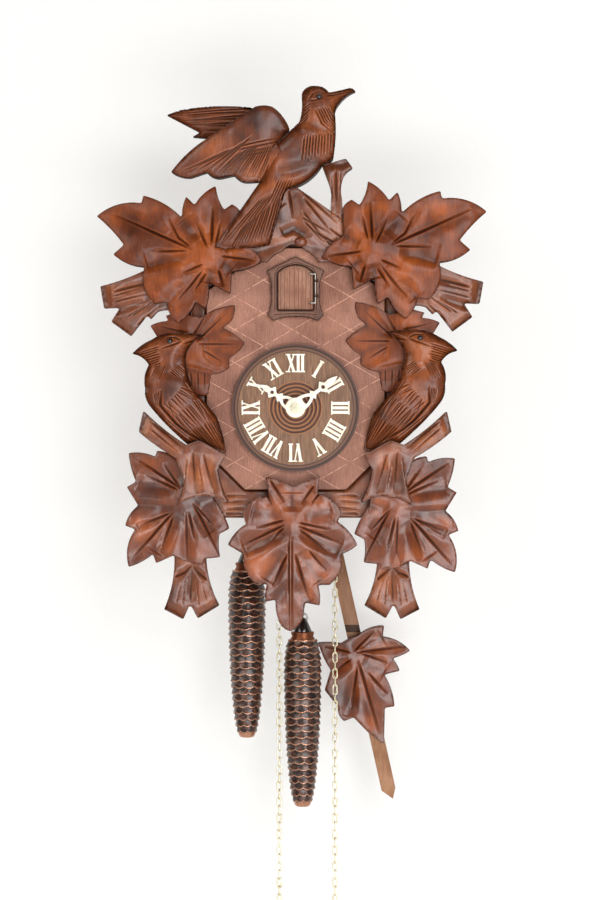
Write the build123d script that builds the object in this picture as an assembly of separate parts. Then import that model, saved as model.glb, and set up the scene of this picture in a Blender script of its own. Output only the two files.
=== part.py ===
from build123d import *
import math
import os

os.makedirs("parts", exist_ok=True)

# A hanging cuckoo clock with carved leaves and birds. Millimetres, +Z up, the front faces -Y.
# The origin is the hanging hole in the back board, on the plane of the wall.

# Case
dial_drop = 85.0             # dial centre below the hanging hole
case_half_width = 56.0
case_depth = 92.0            # wall to the front of the case
floor_below_dial = 66.0      # underside of the case below the dial centre
eave_above_dial = 64.0
roof_pitch = 33.0
roof_thickness = 6.0
eave_reach = 14.0            # roof past the side walls
side_board = 6.0
front_board = 8.0
back_board_thickness = 8.0
floor_board = 6.0
hanging_hole_radius = 4.0
back_board_above_dial = 38.0  # lower edge of the fixed back board
cover_recess = 3.0           # rear cover behind the wall plane
cover_thickness = 5.0
cover_gap = 0.3
pin_radius = 1.0
pin_reach = 3.0
button_length = 26.0
button_width = 10.0
button_rise = 6.0            # button pivot above the lower edge of the back board
fit_gap = 0.05               # running clearance on a radius

# Front panel, frame, bird door and its surround
frame_thickness = 6.0
frame_reach = 12.0           # frame past the case sides
frame_drop = 5.5             # frame below the case
panel_thickness = 10.0
panel_lap = 2.0              # panel past the case sides
panel_bottom = 53.3          # panel's lower edge below the dial centre
panel_corner = 25.0          # slanted lower corners of the panel
panel_top = 104.0
panel_shoulder = 76.0
panel_gap = 0.2
opening_half_width = 11.85
opening_bottom = 63.3
opening_spring = 87.5
opening_rise = 5.4
opening_relief = 2.7         # wider way for the bird behind the surround
case_relief = 4.8            # and wider still through the case front
surround_thickness = 3.5
door_thickness = 3.0
door_gap = 0.3
hinge_wire_radius = 0.5
hinge_out = 1.05             # hinge wire beyond the edge of the opening
hinge_lift = 0.6             # hinge wire in front of the surround
eye_gap = 0.1

# Dial and hands
dial_radius = 41.2
dial_thickness = 4.0
dial_face_radius = 39.6
numeral_height = 11.9
numeral_radius = 29.0
numeral_thickness = 0.8
hand_thickness = 1.2
hand_gap = 0.6
hour_angle = 303.5           # clockwise from twelve
minute_angle = 53.0
hand_nut_radius = 3.2
hand_nut_height = 2.2
minute_arbor_radius = 1.8
hour_pipe_radius = 3.5
pipe_gap = 0.08
arbor_way = 5.0              # radius of the hole through panel and case front

# Movement
movement_front = 76.0        # front face of the front plate, from the wall
plate_spacing = 34.0
plate_thickness = 2.0
plate_half_width = 36.5
plate_top = 44.0
plate_bottom = 57.0
pillar_radius = 3.0
pillar_screw_radius = 1.5
great_arbor_drop = 31.0      # great wheels below the dial centre
going_arbor_x = 15.4
strike_arbor_x = -21.6
great_arbor_radius = 1.5
third_arbor_radius = 1.0
escape_arbor_radius = 0.9
hammer_arbor_radius = 1.25
wheel_thickness = 1.5
going_teeth = 56
centre_teeth = 60
third_pinion_teeth = 15
third_teeth = 36
escape_pinion_teeth = 12
strike_great_teeth = 46
strike_teeth = 40
third_bearing = 21.0         # direction from the centre arbor to the third arbor
escape_bearing = 105.0       # direction from the third arbor to the escape arbor
strike_bearing = 85.0        # direction from the strike great arbor to the strike wheel
escape_radius = 8.0
escape_tooth_count = 30
motion_module = 0.5
cannon_teeth = 12
motion_teeth = 36
motion_pinion_teeth = 10
hour_teeth = 40

# Chains and weights
chain_back = 57.0            # plane of the chains, from the wall
chain_wheel_radius = 10.8    # radius at the middle of the chain
chain_pitch = 5.35
link_wire_radius = 0.45
link_half_width = 1.35       # middle of the wire
link_slack = 0.3
chain_gap = 0.4
chain_travel = 20.0
left_weight_drop = 102.5     # top of the cone below the dial centre
right_weight_drop = 148.5
cone_length = 116.0
cone_radius = 12.7
cone_rows = 24
cone_ridge = 0.5
cap_height = 7.0
cap_radius = 4.6
hook_ring_radius = 3.0
hook_wire_radius = 0.7
pull_ring_radius = 5.0
free_chain_drop = 338.0      # end of the free chains below the dial centre

# Pendulum
pendulum_back = 30.0         # plane of the rod, from the wall
pivot_above_dial = 24.0
pendulum_length = 294.0
pendulum_tilt = 12.6         # swing at rest, towards +X
rod_width = 9.6
rod_thickness = 4.0
leaf_bob_distance = 192.4
slot_clearance = 3.0

# Striking and cuckoo call
hammer_at = (-31.0, 20.0)    # hammer arbor from the dial centre
gong_at = (0.0, -8.0)
gong_back = 16.0
gong_wire_radius = 1.0
gong_first_radius = 8.0
gong_growth = 3.2            # per half turn
gong_half_turns = 7
whistle_width = 12.5
whistle_depth = 32.0
whistle_height = 50.0
whistle_back = 30.0
whistle_top = 30.0           # above the dial centre
folds_height = 8.0
lid_thickness = 3.0
sound_hole_width = 12.0
sound_hole_height = 20.0

# Cuckoo
perch_x = 45.0               # vertical post of the swinging perch
perch_swing = 40.0
bird_out = (4.0, -110.0)     # bird when it is out
bird_above_dial = 76.0
bird_length = 17.0
bird_radius = 4.2
perch_bar = 3.0
perch_height = 2.4
perch_above_sill = 0.7
post_radius = 1.5

# Carvings: each outline is drawn about its own centre
carving_axis = -2.4          # middle of the leaves from the dial centre
bird_axis = -0.3             # middle between the two birds
right_upper_rise = 3.0       # the right pieces sit a little off from the left
right_lower_drop = 3.5
right_bird_rise = 2.0

# Stations worked out from the sizes above
front_y = -case_depth
inner_y = front_y + front_board
frame_y = front_y - frame_thickness
panel_y = front_y - panel_thickness
surround_y = panel_y - surround_thickness
dial_y = panel_y - dial_thickness
numeral_y = dial_y - numeral_thickness
dial_z = -dial_drop
floor_z = dial_z - floor_below_dial
floor_top_z = floor_z + floor_board
eave_z = dial_z + eave_above_dial
slope = math.tan(math.radians(roof_pitch))
apex_z = eave_z + case_half_width * slope
inner_half_width = case_half_width - side_board
inner_eave_z = eave_z + side_board * slope
back_board_z = dial_z + back_board_above_dial
front_plate_y = -movement_front
front_plate_back = front_plate_y + plate_thickness
rear_plate_front = front_plate_back + plate_spacing
rear_plate_y = rear_plate_front + plate_thickness
chain_y = -chain_back


# Shared ways of making a piece

def front_plane(y):
    """The plane at depth y that is drawn on in X and Z and faces the viewer."""
    return Plane(origin=(0, y, 0), x_dir=(1, 0, 0), z_dir=(0, -1, 0))


def board(face, y_back, thickness):
    """A flat piece that reaches forward from y_back."""
    return extrude(front_plane(y_back) * face, amount=thickness, dir=(0, -1, 0))


def disc(radius, at, y_back, thickness):
    return board(Pos(*at) * Circle(radius), y_back, thickness)


def slab(x_low, x_high, y_low, y_high, z_low, z_high):
    middle = ((x_low + x_high) / 2, (y_low + y_high) / 2, (z_low + z_high) / 2)
    return Pos(*middle) * Box(x_high - x_low, y_high - y_low, z_high - z_low)


def post(radius, x, y, z_low, z_high):
    return Pos(x, y, (z_low + z_high) / 2) * Cylinder(radius, z_high - z_low)


def outline(points):
    """A face through clockwise points. A third number swells the edge that follows outward."""
    edges = []
    for start, end in zip(points, points[1:] + points[:1]):
        if len(start) == 3:
            edges.append(SagittaArc(start[:2], end[:2], start[2]))
        else:
            edges.append(Line(start, end[:2]))
    return make_face(edges)


def from_dial(x, z):
    return (x, dial_z + z)


def around(centre, distance, bearing):
    turn = math.radians(bearing)
    return (centre[0] + distance * math.cos(turn), centre[1] + distance * math.sin(turn))


def other_side(shape):
    return mirror(shape, about=Plane.YZ)


# Case boards

case_profile = outline([
    (-case_half_width, floor_z),
    (-case_half_width, eave_z),
    (0, apex_z),
    (case_half_width, eave_z),
    (case_half_width, floor_z),
])


def door_way(half_width, bottom, spring, rise):
    return Pos(0, dial_z) * outline([
        (-half_width, bottom),
        (-half_width, spring, rise),
        (half_width, spring),
        (half_width, bottom),
    ])


def bird_way(relief):
    return door_way(
        opening_half_width + relief, opening_bottom - relief,
        opening_spring - 2 * relief, opening_rise + 2 * relief,
    )


arbor_hole = Pos(*from_dial(0, 0)) * Circle(arbor_way)
case_front = board(case_profile - bird_way(case_relief) - arbor_hole, inner_y, front_board)

sound_hole = slab(
    -case_half_width - 1, case_half_width + 1,
    -whistle_back - whistle_depth / 2 - sound_hole_width / 2,
    -whistle_back - whistle_depth / 2 + sound_hole_width / 2,
    dial_z + whistle_top - whistle_height / 2 - sound_hole_height / 2,
    dial_z + whistle_top - whistle_height / 2 + sound_hole_height / 2,
)
side_profile = outline([
    (-case_half_width, floor_z),
    (-case_half_width, eave_z),
    (-inner_half_width, inner_eave_z),
    (-inner_half_width, floor_z),
])
case_left_side = board(side_profile, 0, -inner_y) - sound_hole
case_right_side = other_side(case_left_side)

roof_reach = case_half_width + eave_reach
roof_end_z = apex_z - roof_reach * slope
tilt = math.radians(roof_pitch)
roof_profile = outline([
    (0, apex_z),
    (0, apex_z + roof_thickness / math.cos(tilt)),
    (roof_reach + roof_thickness * math.sin(tilt), roof_end_z + roof_thickness * math.cos(tilt)),
    (roof_reach, roof_end_z),
])
roof_right = board(roof_profile, 0, case_depth)
roof_boards = [roof_right, other_side(roof_right)]

# Rear cover on two wire pins, and the button that holds it shut
cover_y = -cover_recess - cover_thickness / 2
knuckle_radius = cover_thickness / 2
cover_hinge_x = -inner_half_width + cover_gap + knuckle_radius
cover_low = floor_top_z + cover_gap
cover_high = back_board_z - cover_gap
rear_cover = slab(
    cover_hinge_x, inner_half_width - cover_gap,
    cover_y - knuckle_radius, cover_y + knuckle_radius, cover_low, cover_high,
)
rear_cover += post(knuckle_radius, cover_hinge_x, cover_y, cover_low, cover_high)
rear_cover += post(pin_radius, cover_hinge_x, cover_y, cover_low - pin_reach, cover_high + pin_reach)
pin_hole = post(
    pin_radius + fit_gap, cover_hinge_x, cover_y, cover_low - pin_reach - 1, cover_high + pin_reach + 1)

button_at = (0, back_board_z + button_rise)
button_y = -cover_gap
button_thickness = cover_recess - 2 * cover_gap
button_pin_length = back_board_thickness - 2
turn_button = board(Pos(*button_at) * SlotOverall(button_length, button_width), button_y, button_thickness)
turn_button += disc(pin_radius + 0.5, button_at, button_y, button_pin_length)

back_profile = outline([
    (-inner_half_width, back_board_z),
    (-inner_half_width, inner_eave_z),
    (0, apex_z),
    (inner_half_width, inner_eave_z),
    (inner_half_width, back_board_z),
])
back_board = board(back_profile, 0, back_board_thickness)
back_board -= disc(hanging_hole_radius, (0, 0), 0, back_board_thickness)
back_board -= disc(button_length / 2 + 1, button_at, 0, cover_recess)
back_board -= disc(pin_radius + 0.5 + fit_gap, button_at, 0, back_board_thickness)
back_board -= pin_hole

# Floor with a hole for each length of chain and a slot for the pendulum
going_at = from_dial(going_arbor_x, -great_arbor_drop)
strike_at = from_dial(strike_arbor_x, -great_arbor_drop)
chain_places = [
    centre + side * chain_wheel_radius
    for centre in (strike_arbor_x, going_arbor_x)
    for side in (-1, 1)
]
chain_hole_radius = link_half_width + link_wire_radius + chain_gap
swing = math.tan(math.radians(pendulum_tilt)) * (pivot_above_dial + floor_below_dial)
slot_half_length = swing + rod_width / 2 + slot_clearance
case_floor = slab(-inner_half_width, inner_half_width, inner_y, 0, floor_z, floor_top_z)
for place in chain_places:
    case_floor -= post(chain_hole_radius, place, chain_y, floor_z, floor_top_z)
case_floor -= slab(
    -slot_half_length, slot_half_length,
    -pendulum_back - rod_thickness / 2 - slot_clearance,
    -pendulum_back + rod_thickness / 2 + slot_clearance,
    floor_z, floor_top_z,
)
case_floor -= pin_hole

# Octagonal front panel set in the carved frame

panel_half_width = case_half_width + panel_lap
panel_profile = Pos(0, dial_z) * outline([
    (-panel_half_width, panel_corner - panel_bottom),
    (-panel_half_width, panel_shoulder),
    (-opening_half_width - 4, panel_top),
    (opening_half_width + 4, panel_top),
    (panel_half_width, panel_shoulder),
    (panel_half_width, panel_corner - panel_bottom),
    (panel_half_width - panel_corner, -panel_bottom),
    (panel_corner - panel_half_width, -panel_bottom),
])
front_panel = board(panel_profile - bird_way(opening_relief) - arbor_hole, front_y, panel_thickness)

frame_half_width = case_half_width + frame_reach
frame_low = -floor_below_dial - frame_drop
frame_eave = eave_above_dial + 13
frame_profile = Pos(0, dial_z) * outline([
    (-frame_half_width, frame_low + 26),
    (-frame_half_width, frame_eave),
    (0, frame_eave + frame_half_width * slope),
    (frame_half_width, frame_eave),
    (frame_half_width, frame_low + 26),
    (frame_half_width - 16, frame_low),
    (16 - frame_half_width, frame_low),
])
carved_frame = board(frame_profile - offset(panel_profile, amount=panel_gap), front_y, frame_thickness)

# Surround of the bird's opening, with two eyes that hold the hinge wire

hinge_x = opening_half_width + hinge_out
hinge_y = surround_y - hinge_lift
hinge_high = dial_z + opening_spring - 0.7
hinge_low = dial_z + opening_bottom + 4.7
surround_half = outline([
    (0, 98.2),
    (18.8, 88.8, -1.2),
    (16.0, 75.8, -1.2),
    (18.3, 60.0),
    (14.3, 56.4, -1.0),
    (0, 59.0),
])
surround_face = Pos(0, dial_z) * (surround_half + mirror(surround_half, about=Plane.YZ))
door_opening = door_way(opening_half_width, opening_bottom, opening_spring, opening_rise)
door_surround = board(surround_face - door_opening, panel_y, surround_thickness)
for eye_z in (hinge_high - 4.5, hinge_low + 4.5):
    eye = slab(
        opening_half_width + 0.1, hinge_x + hinge_wire_radius + 1.0,
        hinge_y - hinge_wire_radius - 0.5, surround_y, eye_z - 0.9, eye_z + 0.9,
    )
    door_surround += eye - post(hinge_wire_radius + eye_gap, hinge_x, hinge_y, eye_z - 1, eye_z + 1)

door_front = surround_y + door_gap
wire_end = hinge_x - 3.4
hinge_wire = post(hinge_wire_radius, hinge_x, hinge_y, hinge_low, hinge_high)
for arm_z in (hinge_low, hinge_high):
    arm_length = hinge_x - wire_end
    arm_middle = Pos((hinge_x + wire_end) / 2, hinge_y, arm_z)
    hinge_wire += arm_middle * Rot(0, 90, 0) * Cylinder(hinge_wire_radius, arm_length)
    hinge_wire += Pos(hinge_x, hinge_y, arm_z) * Sphere(hinge_wire_radius)
    hinge_wire += Pos(wire_end, hinge_y, arm_z) * Sphere(hinge_wire_radius)
    hinge_wire += disc(hinge_wire_radius, (wire_end, arm_z), door_front + 1.5, door_front + 1.5 - hinge_y)
door_hinge_wire = hinge_wire
door_face = door_way(
    opening_half_width - door_gap, opening_bottom + door_gap,
    opening_spring - door_gap / 2, opening_rise - door_gap / 2,
)
cuckoo_door = board(door_face, door_front + door_thickness, door_thickness) - door_hinge_wire

# Carvings. Every piece is a thick outline with a domed front, cut where it sits on the pieces behind it

def carving(points, height, crown, y_back=frame_y):
    block = board(outline(points), y_back, height)
    return block & (Pos(0, y_back - height + crown, 0) * Sphere(crown))


upper_leaf = carving([
    (-72.5, 25.5, 3.5), (-43.0, 33.5), (-42.0, 38.5, 2.0), (-17.5, 24.5), (-16.0, 20.5, 1.5), (-14.0, 37.5),
    (-8.5, 32.0, 1.5), (5.0, 44.5, -1.0), (10.5, 29.0), (15.5, 32.5, 0.8), (21.5, 27.0), (20.5, 9.5, 1.5),
    (35.0, -4.5, 1.5), (15.5, -11.0), (14.5, -25.5), (0.5, -18.0, 1.0), (-1.5, -35.0), (-8.0, -30.5, 1.5),
    (-19.5, -44.5, 1.5), (-27.0, -31.0), (-34.5, -32.0, 4.0), (-41.0, -8.0, 2.0), (-61.5, 0.5),
    (-54.5, 6.5, -0.8),
], height=15.0, crown=260.0)

upper_twig = carving([
    (-32.5, 2.5, -1.0), (-3.0, 13.0), (30.0, 2.0), (26.0, -14.0), (9.5, -13.0), (5.0, -14.0), (0.5, -19.0),
    (-2.0, -16.5), (-12.5, -30.0), (-25.5, -20.5), (-19.5, -11.5), (-30.0, -12.0),
], height=9.0, crown=150.0)

bird_leaf = carving([
    (-32.5, 8.0, 0.8), (-20.5, 11.0), (-22.5, 14.5), (-13.0, 17.0), (0.0, 13.0, 1.5), (22.5, 21.5, 1.0),
    (20.0, 10.5), (14.5, 6.5, 1.0), (29.0, -3.5, 1.0), (19.0, -13.0), (19.0, -19.5, 0.8), (7.0, -24.0),
    (5.5, -38.0), (-8.0, -36.0), (-10.0, -17.5), (-28.5, 1.5),
], height=7.5, crown=200.0)

side_bird = carving([
    (-25.5, 20.0, 0.8), (-13.0, 29.0, 1.0), (0.0, 33.5, 0.5), (22.5, 32.0, -1.5), (11.5, 24.5, -1.5),
    (9.5, 11.0, -0.5), (13.5, -2.0), (28.5, -20.0, 0.8), (35.0, -43.5, 0.6), (21.5, -47.5, 0.5),
    (4.0, -33.0, 0.5), (-13.0, -15.0, 1.5), (-17.0, -2.0, 1.5), (-14.5, 12.5, -1.5),
], height=20.0, crown=130.0)

side_branch = carving([
    (-30.0, 22.0, -1.0), (-2.5, 0.0), (6.5, 3.0), (23.5, -6.5), (18.0, -16.0, -1.0), (25.5, -38.0, -2.0),
    (6.5, -33.5, -2.0), (-10.0, -41.5, -1.5), (-4.0, -21.5), (-9.0, -8.5, 0.8), (-33.0, 8.5),
], height=16.0, crown=400.0)

lower_leaf = carving([
    (-35.5, 35.5, 1.5), (-18.0, 33.0), (-17.0, 37.0, 0.8), (-6.5, 33.5), (11.0, 24.5, 1.5), (20.5, 5.0, 0.8),
    (30.0, -13.5), (23.5, -17.0, -0.8), (24.0, -32.0), (14.5, -33.0), (13.0, -37.5, 1.0), (-6.5, -31.0),
    (-17.5, -36.0), (-19.5, -30.0, 1.0), (-35.5, -38.5, 3.0), (-31.0, -14.0), (-37.5, -11.5, 1.5),
    (-29.0, 1.5), (-36.5, 13.5), (-30.5, 17.0, 0.8),
], height=12.0, crown=180.0)

lower_twig = carving([
    (-10.5, 22.0, 2.5), (-17.0, -16.0), (-4.5, -22.5), (0.0, -12.5), (5.0, -22.0), (19.0, -13.5, 2.5),
    (10.5, 22.0),
], height=8.0, crown=150.0)

centre_leaf = carving([
    (-17.0, 30.5, 0.5), (1.0, 24.5, 0.5), (18.5, 31.0, -0.5), (17.0, 19.5, 1.0), (28.0, 13.5, 0.8),
    (32.0, 6.0), (29.5, 1.5, 1.5), (42.5, -13.5, 0.8), (31.5, -19.5), (32.5, -27.0, 1.2), (24.5, -39.5),
    (17.0, -39.5, 0.8), (18.0, -53.0), (8.5, -51.0), (7.5, -61.0, 1.0), (-0.5, -70.0, 1.5),
    (-8.5, -63.0, 0.8), (-10.5, -49.0), (-17.0, -50.5, 0.8), (-16.0, -39.0), (-24.5, -38.0, 2.0),
    (-32.0, -19.0), (-41.5, -13.5, 1.5), (-29.5, 0.0), (-32.0, 7.0, 0.8), (-25.5, 15.5, 1.0),
    (-15.0, 17.5, -0.5),
], height=16.0, crown=200.0)

gable = carving([
    (0.0, 26.5), (34.5, 2.5), (45.5, -24.0), (17.0, -24.0, -1.0), (9.0, -17.0, -1.0), (1.5, -13.0, -1.0),
    (-6.0, -17.0, -1.0), (-15.5, -24.0), (-45.5, -24.0), (-33.5, 2.0),
], height=11.0, crown=300.0)

crest_branch = carving([
    (-9.0, 12.5), (-2.0, 14.5), (6.5, 17.0), (11.0, 10.5, -1.5), (4.0, 2.0, -0.8), (4.0, -9.5, -0.8),
    (7.0, -24.0), (-4.0, -24.0), (-3.0, -6.5, -0.5), (-6.0, 4.5),
], height=12.0, crown=120.0)

crest_body = carving([
    (22.5, 16.0, 1.0), (21.5, -13.0, 0.5), (14.5, -17.0, 1.5), (0.0, -30.0), (-12.0, -34.0),
    (-24.5, -28.5, 1.0), (-18.0, -6.5), (-0.5, 9.5, -1.0), (1.0, 28.0, 2.0), (10.0, 33.8, 1.5),
    (18.5, 29.5, -0.3), (31.5, 33.2, 0.8), (36.0, 31.2, -1.0), (25.5, 23.0, -0.6),
], height=26.0, crown=80.0)

crest_tail = board(outline([
    (-24.5, -26.0), (-6.0, -26.0), (-9.5, -34.0), (-19.5, -68.5, 0.5), (-34.0, -70.5), (-48.5, -71.5),
    (-55.0, -70.0),
]), frame_y, 18.0)

far_wing = Pos(-51.8, 0, 12.9) * carving([
    (-35.0, 3.5), (-26.0, 6.5, 0.8), (6.5, 9.0, 0.8), (27.0, 6.5), (38.0, -4.0), (46.0, -14.0), (50.0, -24.0),
    (3.0, -13.0), (-18.0, -11.0), (-13.0, -8.0),
], height=9.0, crown=220.0)

near_wing = carving([
    (-47.5, -15.5, 1.0), (-29.0, 2.5), (6.5, 26.0, 1.0), (18.0, 26.0, 1.5), (29.0, 11.5), (24.5, 0.0),
    (11.0, -22.0), (3.0, -22.5, 1.5), (-6.5, -18.0), (-15.5, -20.0, 1.2), (-24.0, -16.0), (-34.5, -19.5, 1.2),
], height=26.0, crown=200.0) - slab(-60, 60, frame_y - 12, frame_y + 1, -60, 60)


def place(shape, x, z):
    return Pos(x, 0, dial_z + z) * shape


def pair(shape, axis, spread, z, right_rise):
    """A left piece and its mirror image, spread out to both sides of an axis."""
    return place(shape, axis - spread, z), place(other_side(shape), axis + spread, z + right_rise)


apex_above_dial = apex_z - dial_z
upper_twigs = pair(upper_twig, carving_axis, case_half_width + 35.9, eave_above_dial + 12.5, right_upper_rise)
bird_leaves = pair(bird_leaf, bird_axis, case_half_width + 5.6, eave_above_dial - 18.6, right_bird_rise)
lower_twigs = pair(lower_twig, carving_axis, case_half_width + 10.0, -floor_below_dial - 48.7, 0)
lower_leaf_z = 1.2 - floor_below_dial
lower_leaves = pair(lower_leaf, carving_axis, case_half_width + 14.5, lower_leaf_z, -right_lower_drop)
upper_leaves = pair(upper_leaf, carving_axis, case_half_width - 1.7, eave_above_dial + 35.1, right_upper_rise)
side_branches = pair(side_branch, bird_axis, case_half_width + 12.1, -24.0, 0)
side_birds = pair(side_bird, bird_axis, case_half_width + 23.7, 14.9, right_bird_rise)

# From the back to the front: a piece is cut by every piece that lies behind it
layers = {
    "carved_frame": carved_frame,
    "front_panel": front_panel,
    "upper_left_twig": upper_twigs[0],
    "upper_right_twig": upper_twigs[1],
    "lower_left_twig": lower_twigs[0],
    "lower_right_twig": lower_twigs[1],
    "crest_gable": place(gable, carving_axis, apex_above_dial + 18.2),
    "left_bird_leaf": bird_leaves[0],
    "right_bird_leaf": bird_leaves[1],
    "lower_left_leaf": lower_leaves[0],
    "lower_right_leaf": lower_leaves[1],
    "left_branch": side_branches[0],
    "right_branch": side_branches[1],
    "upper_left_leaf": upper_leaves[0],
    "upper_right_leaf": upper_leaves[1],
    "centre_leaf": place(centre_leaf, carving_axis, -floor_below_dial - 9.2),
    "left_bird": side_birds[0],
    "right_bird": side_birds[1],
    "crest_branch": place(crest_branch, 26.2, apex_above_dial + 44.1),
    "crest_bird": place(crest_body + crest_tail + far_wing, 2.9, apex_above_dial + 73.3),
    "crest_near_wing": place(near_wing, -32.7, apex_above_dial + 66.8),
}


def boxes_meet(one, two):
    a = one.bounding_box()
    b = two.bounding_box()
    return all(
        low < high for low, high in (
            (a.min.X, b.max.X), (b.min.X, a.max.X), (a.min.Y, b.max.Y),
            (b.min.Y, a.max.Y), (a.min.Z, b.max.Z), (b.min.Z, a.max.Z),
        )
    )


settled = {}
for name, piece in layers.items():
    for behind in settled.values():
        if boxes_meet(piece, behind):
            piece = piece - behind
    settled[name] = max(piece.solids(), key=lambda solid: solid.volume)

# Dial with turned rings, and the numerals laid on it

dial = disc(dial_radius, from_dial(0, 0), panel_y, dial_thickness)
dial -= disc(hour_pipe_radius + 0.7, from_dial(0, 0), panel_y, dial_thickness)
rim_groove = Circle(dial_face_radius + 0.6) - Circle(dial_face_radius)
dial -= board(Pos(*from_dial(0, 0)) * rim_groove, dial_y + 0.8, 0.8)
for ring in range(4):
    ring_radius = 8.0 + 2.6 * ring
    dial -= Pos(0, dial_y, dial_z) * Rot(90, 0, 0) * Torus(ring_radius, 0.8)

thick_stroke = 1.9
thin_stroke = 0.9
serif = 0.9
stem_pitch = 2.9
wide_pitch = 6.3


def stroke(low_x, high_x, width):
    half = numeral_height / 2
    return outline([
        (low_x - width / 2, -half), (high_x - width / 2, half),
        (high_x + width / 2, half), (low_x + width / 2, -half),
    ])


def serifs(x, ends):
    shape = Sketch()
    for end in ends:
        shape += Pos(x, end * (numeral_height - serif) / 2) * Rectangle(stem_pitch + 0.1, serif)
    return shape


def letter(kind, x):
    spread = wide_pitch / 2 - 1.2
    if kind == "I":
        return stroke(x, x, thick_stroke) + serifs(x, (-1, 1))
    if kind == "V":
        joined = stroke(x, x - spread, thick_stroke) + stroke(x, x + spread, thin_stroke)
        return joined + serifs(x - spread, (1,)) + serifs(x + spread, (1,))
    crossed = stroke(x + spread, x - spread, thick_stroke) + stroke(x - spread, x + spread, thin_stroke)
    return crossed + serifs(x - spread, (-1, 1)) + serifs(x + spread, (-1, 1))


def numeral(text):
    widths = [stem_pitch if kind == "I" else wide_pitch for kind in text]
    x = -sum(widths) / 2
    shape = Sketch()
    for kind, width in zip(text, widths):
        shape += letter(kind, x + width / 2)
        x += width
    return shape


hours = ["I", "II", "III", "IIII", "V", "VI", "VII", "VIII", "IX", "X", "XI", "XII"]
numerals = []
for hour, text in enumerate(hours, start=1):
    turn = hour * 30
    spot = Pos(*from_dial(*around((0, 0), numeral_radius, 90 - turn))) * Rot(0, 0, -turn)
    numerals.append(board(spot * numeral(text), dial_y, numeral_thickness))


def hand(length, hub, loop_end, boss_at, boss, bore):
    """A pierced hand that points up: hub, open loop, boss with a round hole, and tip."""
    face = Circle(hub)
    face += outline([(-hub + 1.6, 3.2, 1.0), (-0.9, loop_end), (0.9, loop_end, 1.0), (hub - 1.6, 3.2)])
    face += outline([
        (-3.4, loop_end - 0.4), (-0.9, loop_end + 1.8), (0.9, loop_end + 1.8), (3.4, loop_end - 0.4),
        (0.9, loop_end - 2.0), (-0.9, loop_end - 2.0),
    ])
    face += Pos(0, (loop_end + boss_at) / 2) * Rectangle(2.4, boss_at - loop_end)
    face += Pos(0, boss_at) * Circle(boss)
    for side in (-1, 1):
        face += Pos(side * boss, boss_at) * Rot(0, 0, 45) * Rectangle(1.9, 1.9)
    face += outline([
        (-1.0, boss_at), (-2.1, boss_at + 0.45 * (length - boss_at), 0.3), (0, length, 0.3),
        (2.1, boss_at + 0.45 * (length - boss_at)), (1.0, boss_at),
    ])
    face -= outline([(-2.2, hub + 0.6, 0.5), (0, loop_end - 2.6, 0.5), (2.2, hub + 0.6, 0.6)])
    face -= Pos(0, boss_at) * Circle(boss - 1.7)
    return face - Circle(bore)


hour_hand_y = numeral_y - hand_gap
minute_hand_y = hour_hand_y - hand_thickness - hand_gap
nut_y = minute_hand_y - hand_thickness
hour_shape = Rot(0, 0, -hour_angle) * hand(27.0, 6.0, 12.6, 18.2, 2.9, hour_pipe_radius)
minute_shape = Rot(0, 0, -minute_angle) * hand(34.0, 6.35, 14.5, 22.3, 3.0, minute_arbor_radius)
hour_hand = board(Pos(*from_dial(0, 0)) * hour_shape, hour_hand_y, hand_thickness)
minute_hand = board(Pos(*from_dial(0, 0)) * minute_shape, minute_hand_y, hand_thickness)

# Toothed wheels

def gear(teeth, module, at, phase, y_back, thickness=wheel_thickness):
    """Straight-sided teeth with room to run; a tooth points in the direction of phase."""
    pitch_radius = teeth * module / 2
    root = pitch_radius - 1.15 * module
    tip = pitch_radius + 0.75 * module
    half = 0.18 * math.pi * module
    lean = math.tan(math.radians(20))
    points = []
    for tooth in range(teeth):
        middle = phase - tooth * 360 / teeth
        for radius, side in ((root, 1), (tip, 1), (tip, -1), (root, -1)):
            width = half - (radius - pitch_radius) * lean
            points.append(around((0, 0), radius, middle + side * math.degrees(width / radius)))
    return board(Pos(*at) * Polygon(*points, align=None), y_back, thickness)


def meshing_phase(teeth, other_teeth, other_phase, bearing):
    """Phase of a wheel whose gap meets the tooth of another wheel that lies back along the bearing."""
    share = 0.5 - (bearing - other_phase) * other_teeth / 360
    return bearing + 180 - share * 360 / teeth


def bearing_of(start, end):
    return math.degrees(math.atan2(end[1] - start[1], end[0] - start[0]))


centre_at = from_dial(0, 0)
pivot_at = from_dial(0, pivot_above_dial)
train_module = 2 * math.dist(going_at, centre_at) / (going_teeth + centre_teeth)
third_at = around(centre_at, train_module * (centre_teeth + third_pinion_teeth) / 2, third_bearing)
escape_at = around(third_at, train_module * (third_teeth + escape_pinion_teeth) / 2, escape_bearing)
strike_wheel_at = around(strike_at, train_module * (strike_great_teeth + strike_teeth) / 2, strike_bearing)
hammer_place = from_dial(*hammer_at)
motion_at = around(centre_at, motion_module * (cannon_teeth + motion_teeth) / 2, -90)
hour_module = motion_module * (cannon_teeth + motion_teeth) / (motion_pinion_teeth + hour_teeth)

first_plane = front_plate_back + 3.0
second_plane = first_plane + 3.0
third_plane = second_plane + 3.5
strike_plane = rear_plate_front - 6.5
arbor_low = front_plate_y - 0.3
arbor_high = rear_plate_y + 0.3

going_phase = 0.0
centre_phase = meshing_phase(centre_teeth, going_teeth, going_phase, bearing_of(going_at, centre_at))
third_phase = meshing_phase(third_pinion_teeth, centre_teeth, centre_phase, third_bearing)
escape_phase = meshing_phase(escape_pinion_teeth, third_teeth, third_phase, escape_bearing)
strike_phase = meshing_phase(strike_teeth, strike_great_teeth, 0.0, strike_bearing)
motion_phase = meshing_phase(motion_teeth, cannon_teeth, 0.0, -90)
hour_phase = meshing_phase(hour_teeth, motion_pinion_teeth, motion_phase, 90)


def arbor(radius, at, y_back=arbor_high, y_front=arbor_low):
    return disc(radius, at, y_back, y_back - y_front)


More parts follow.
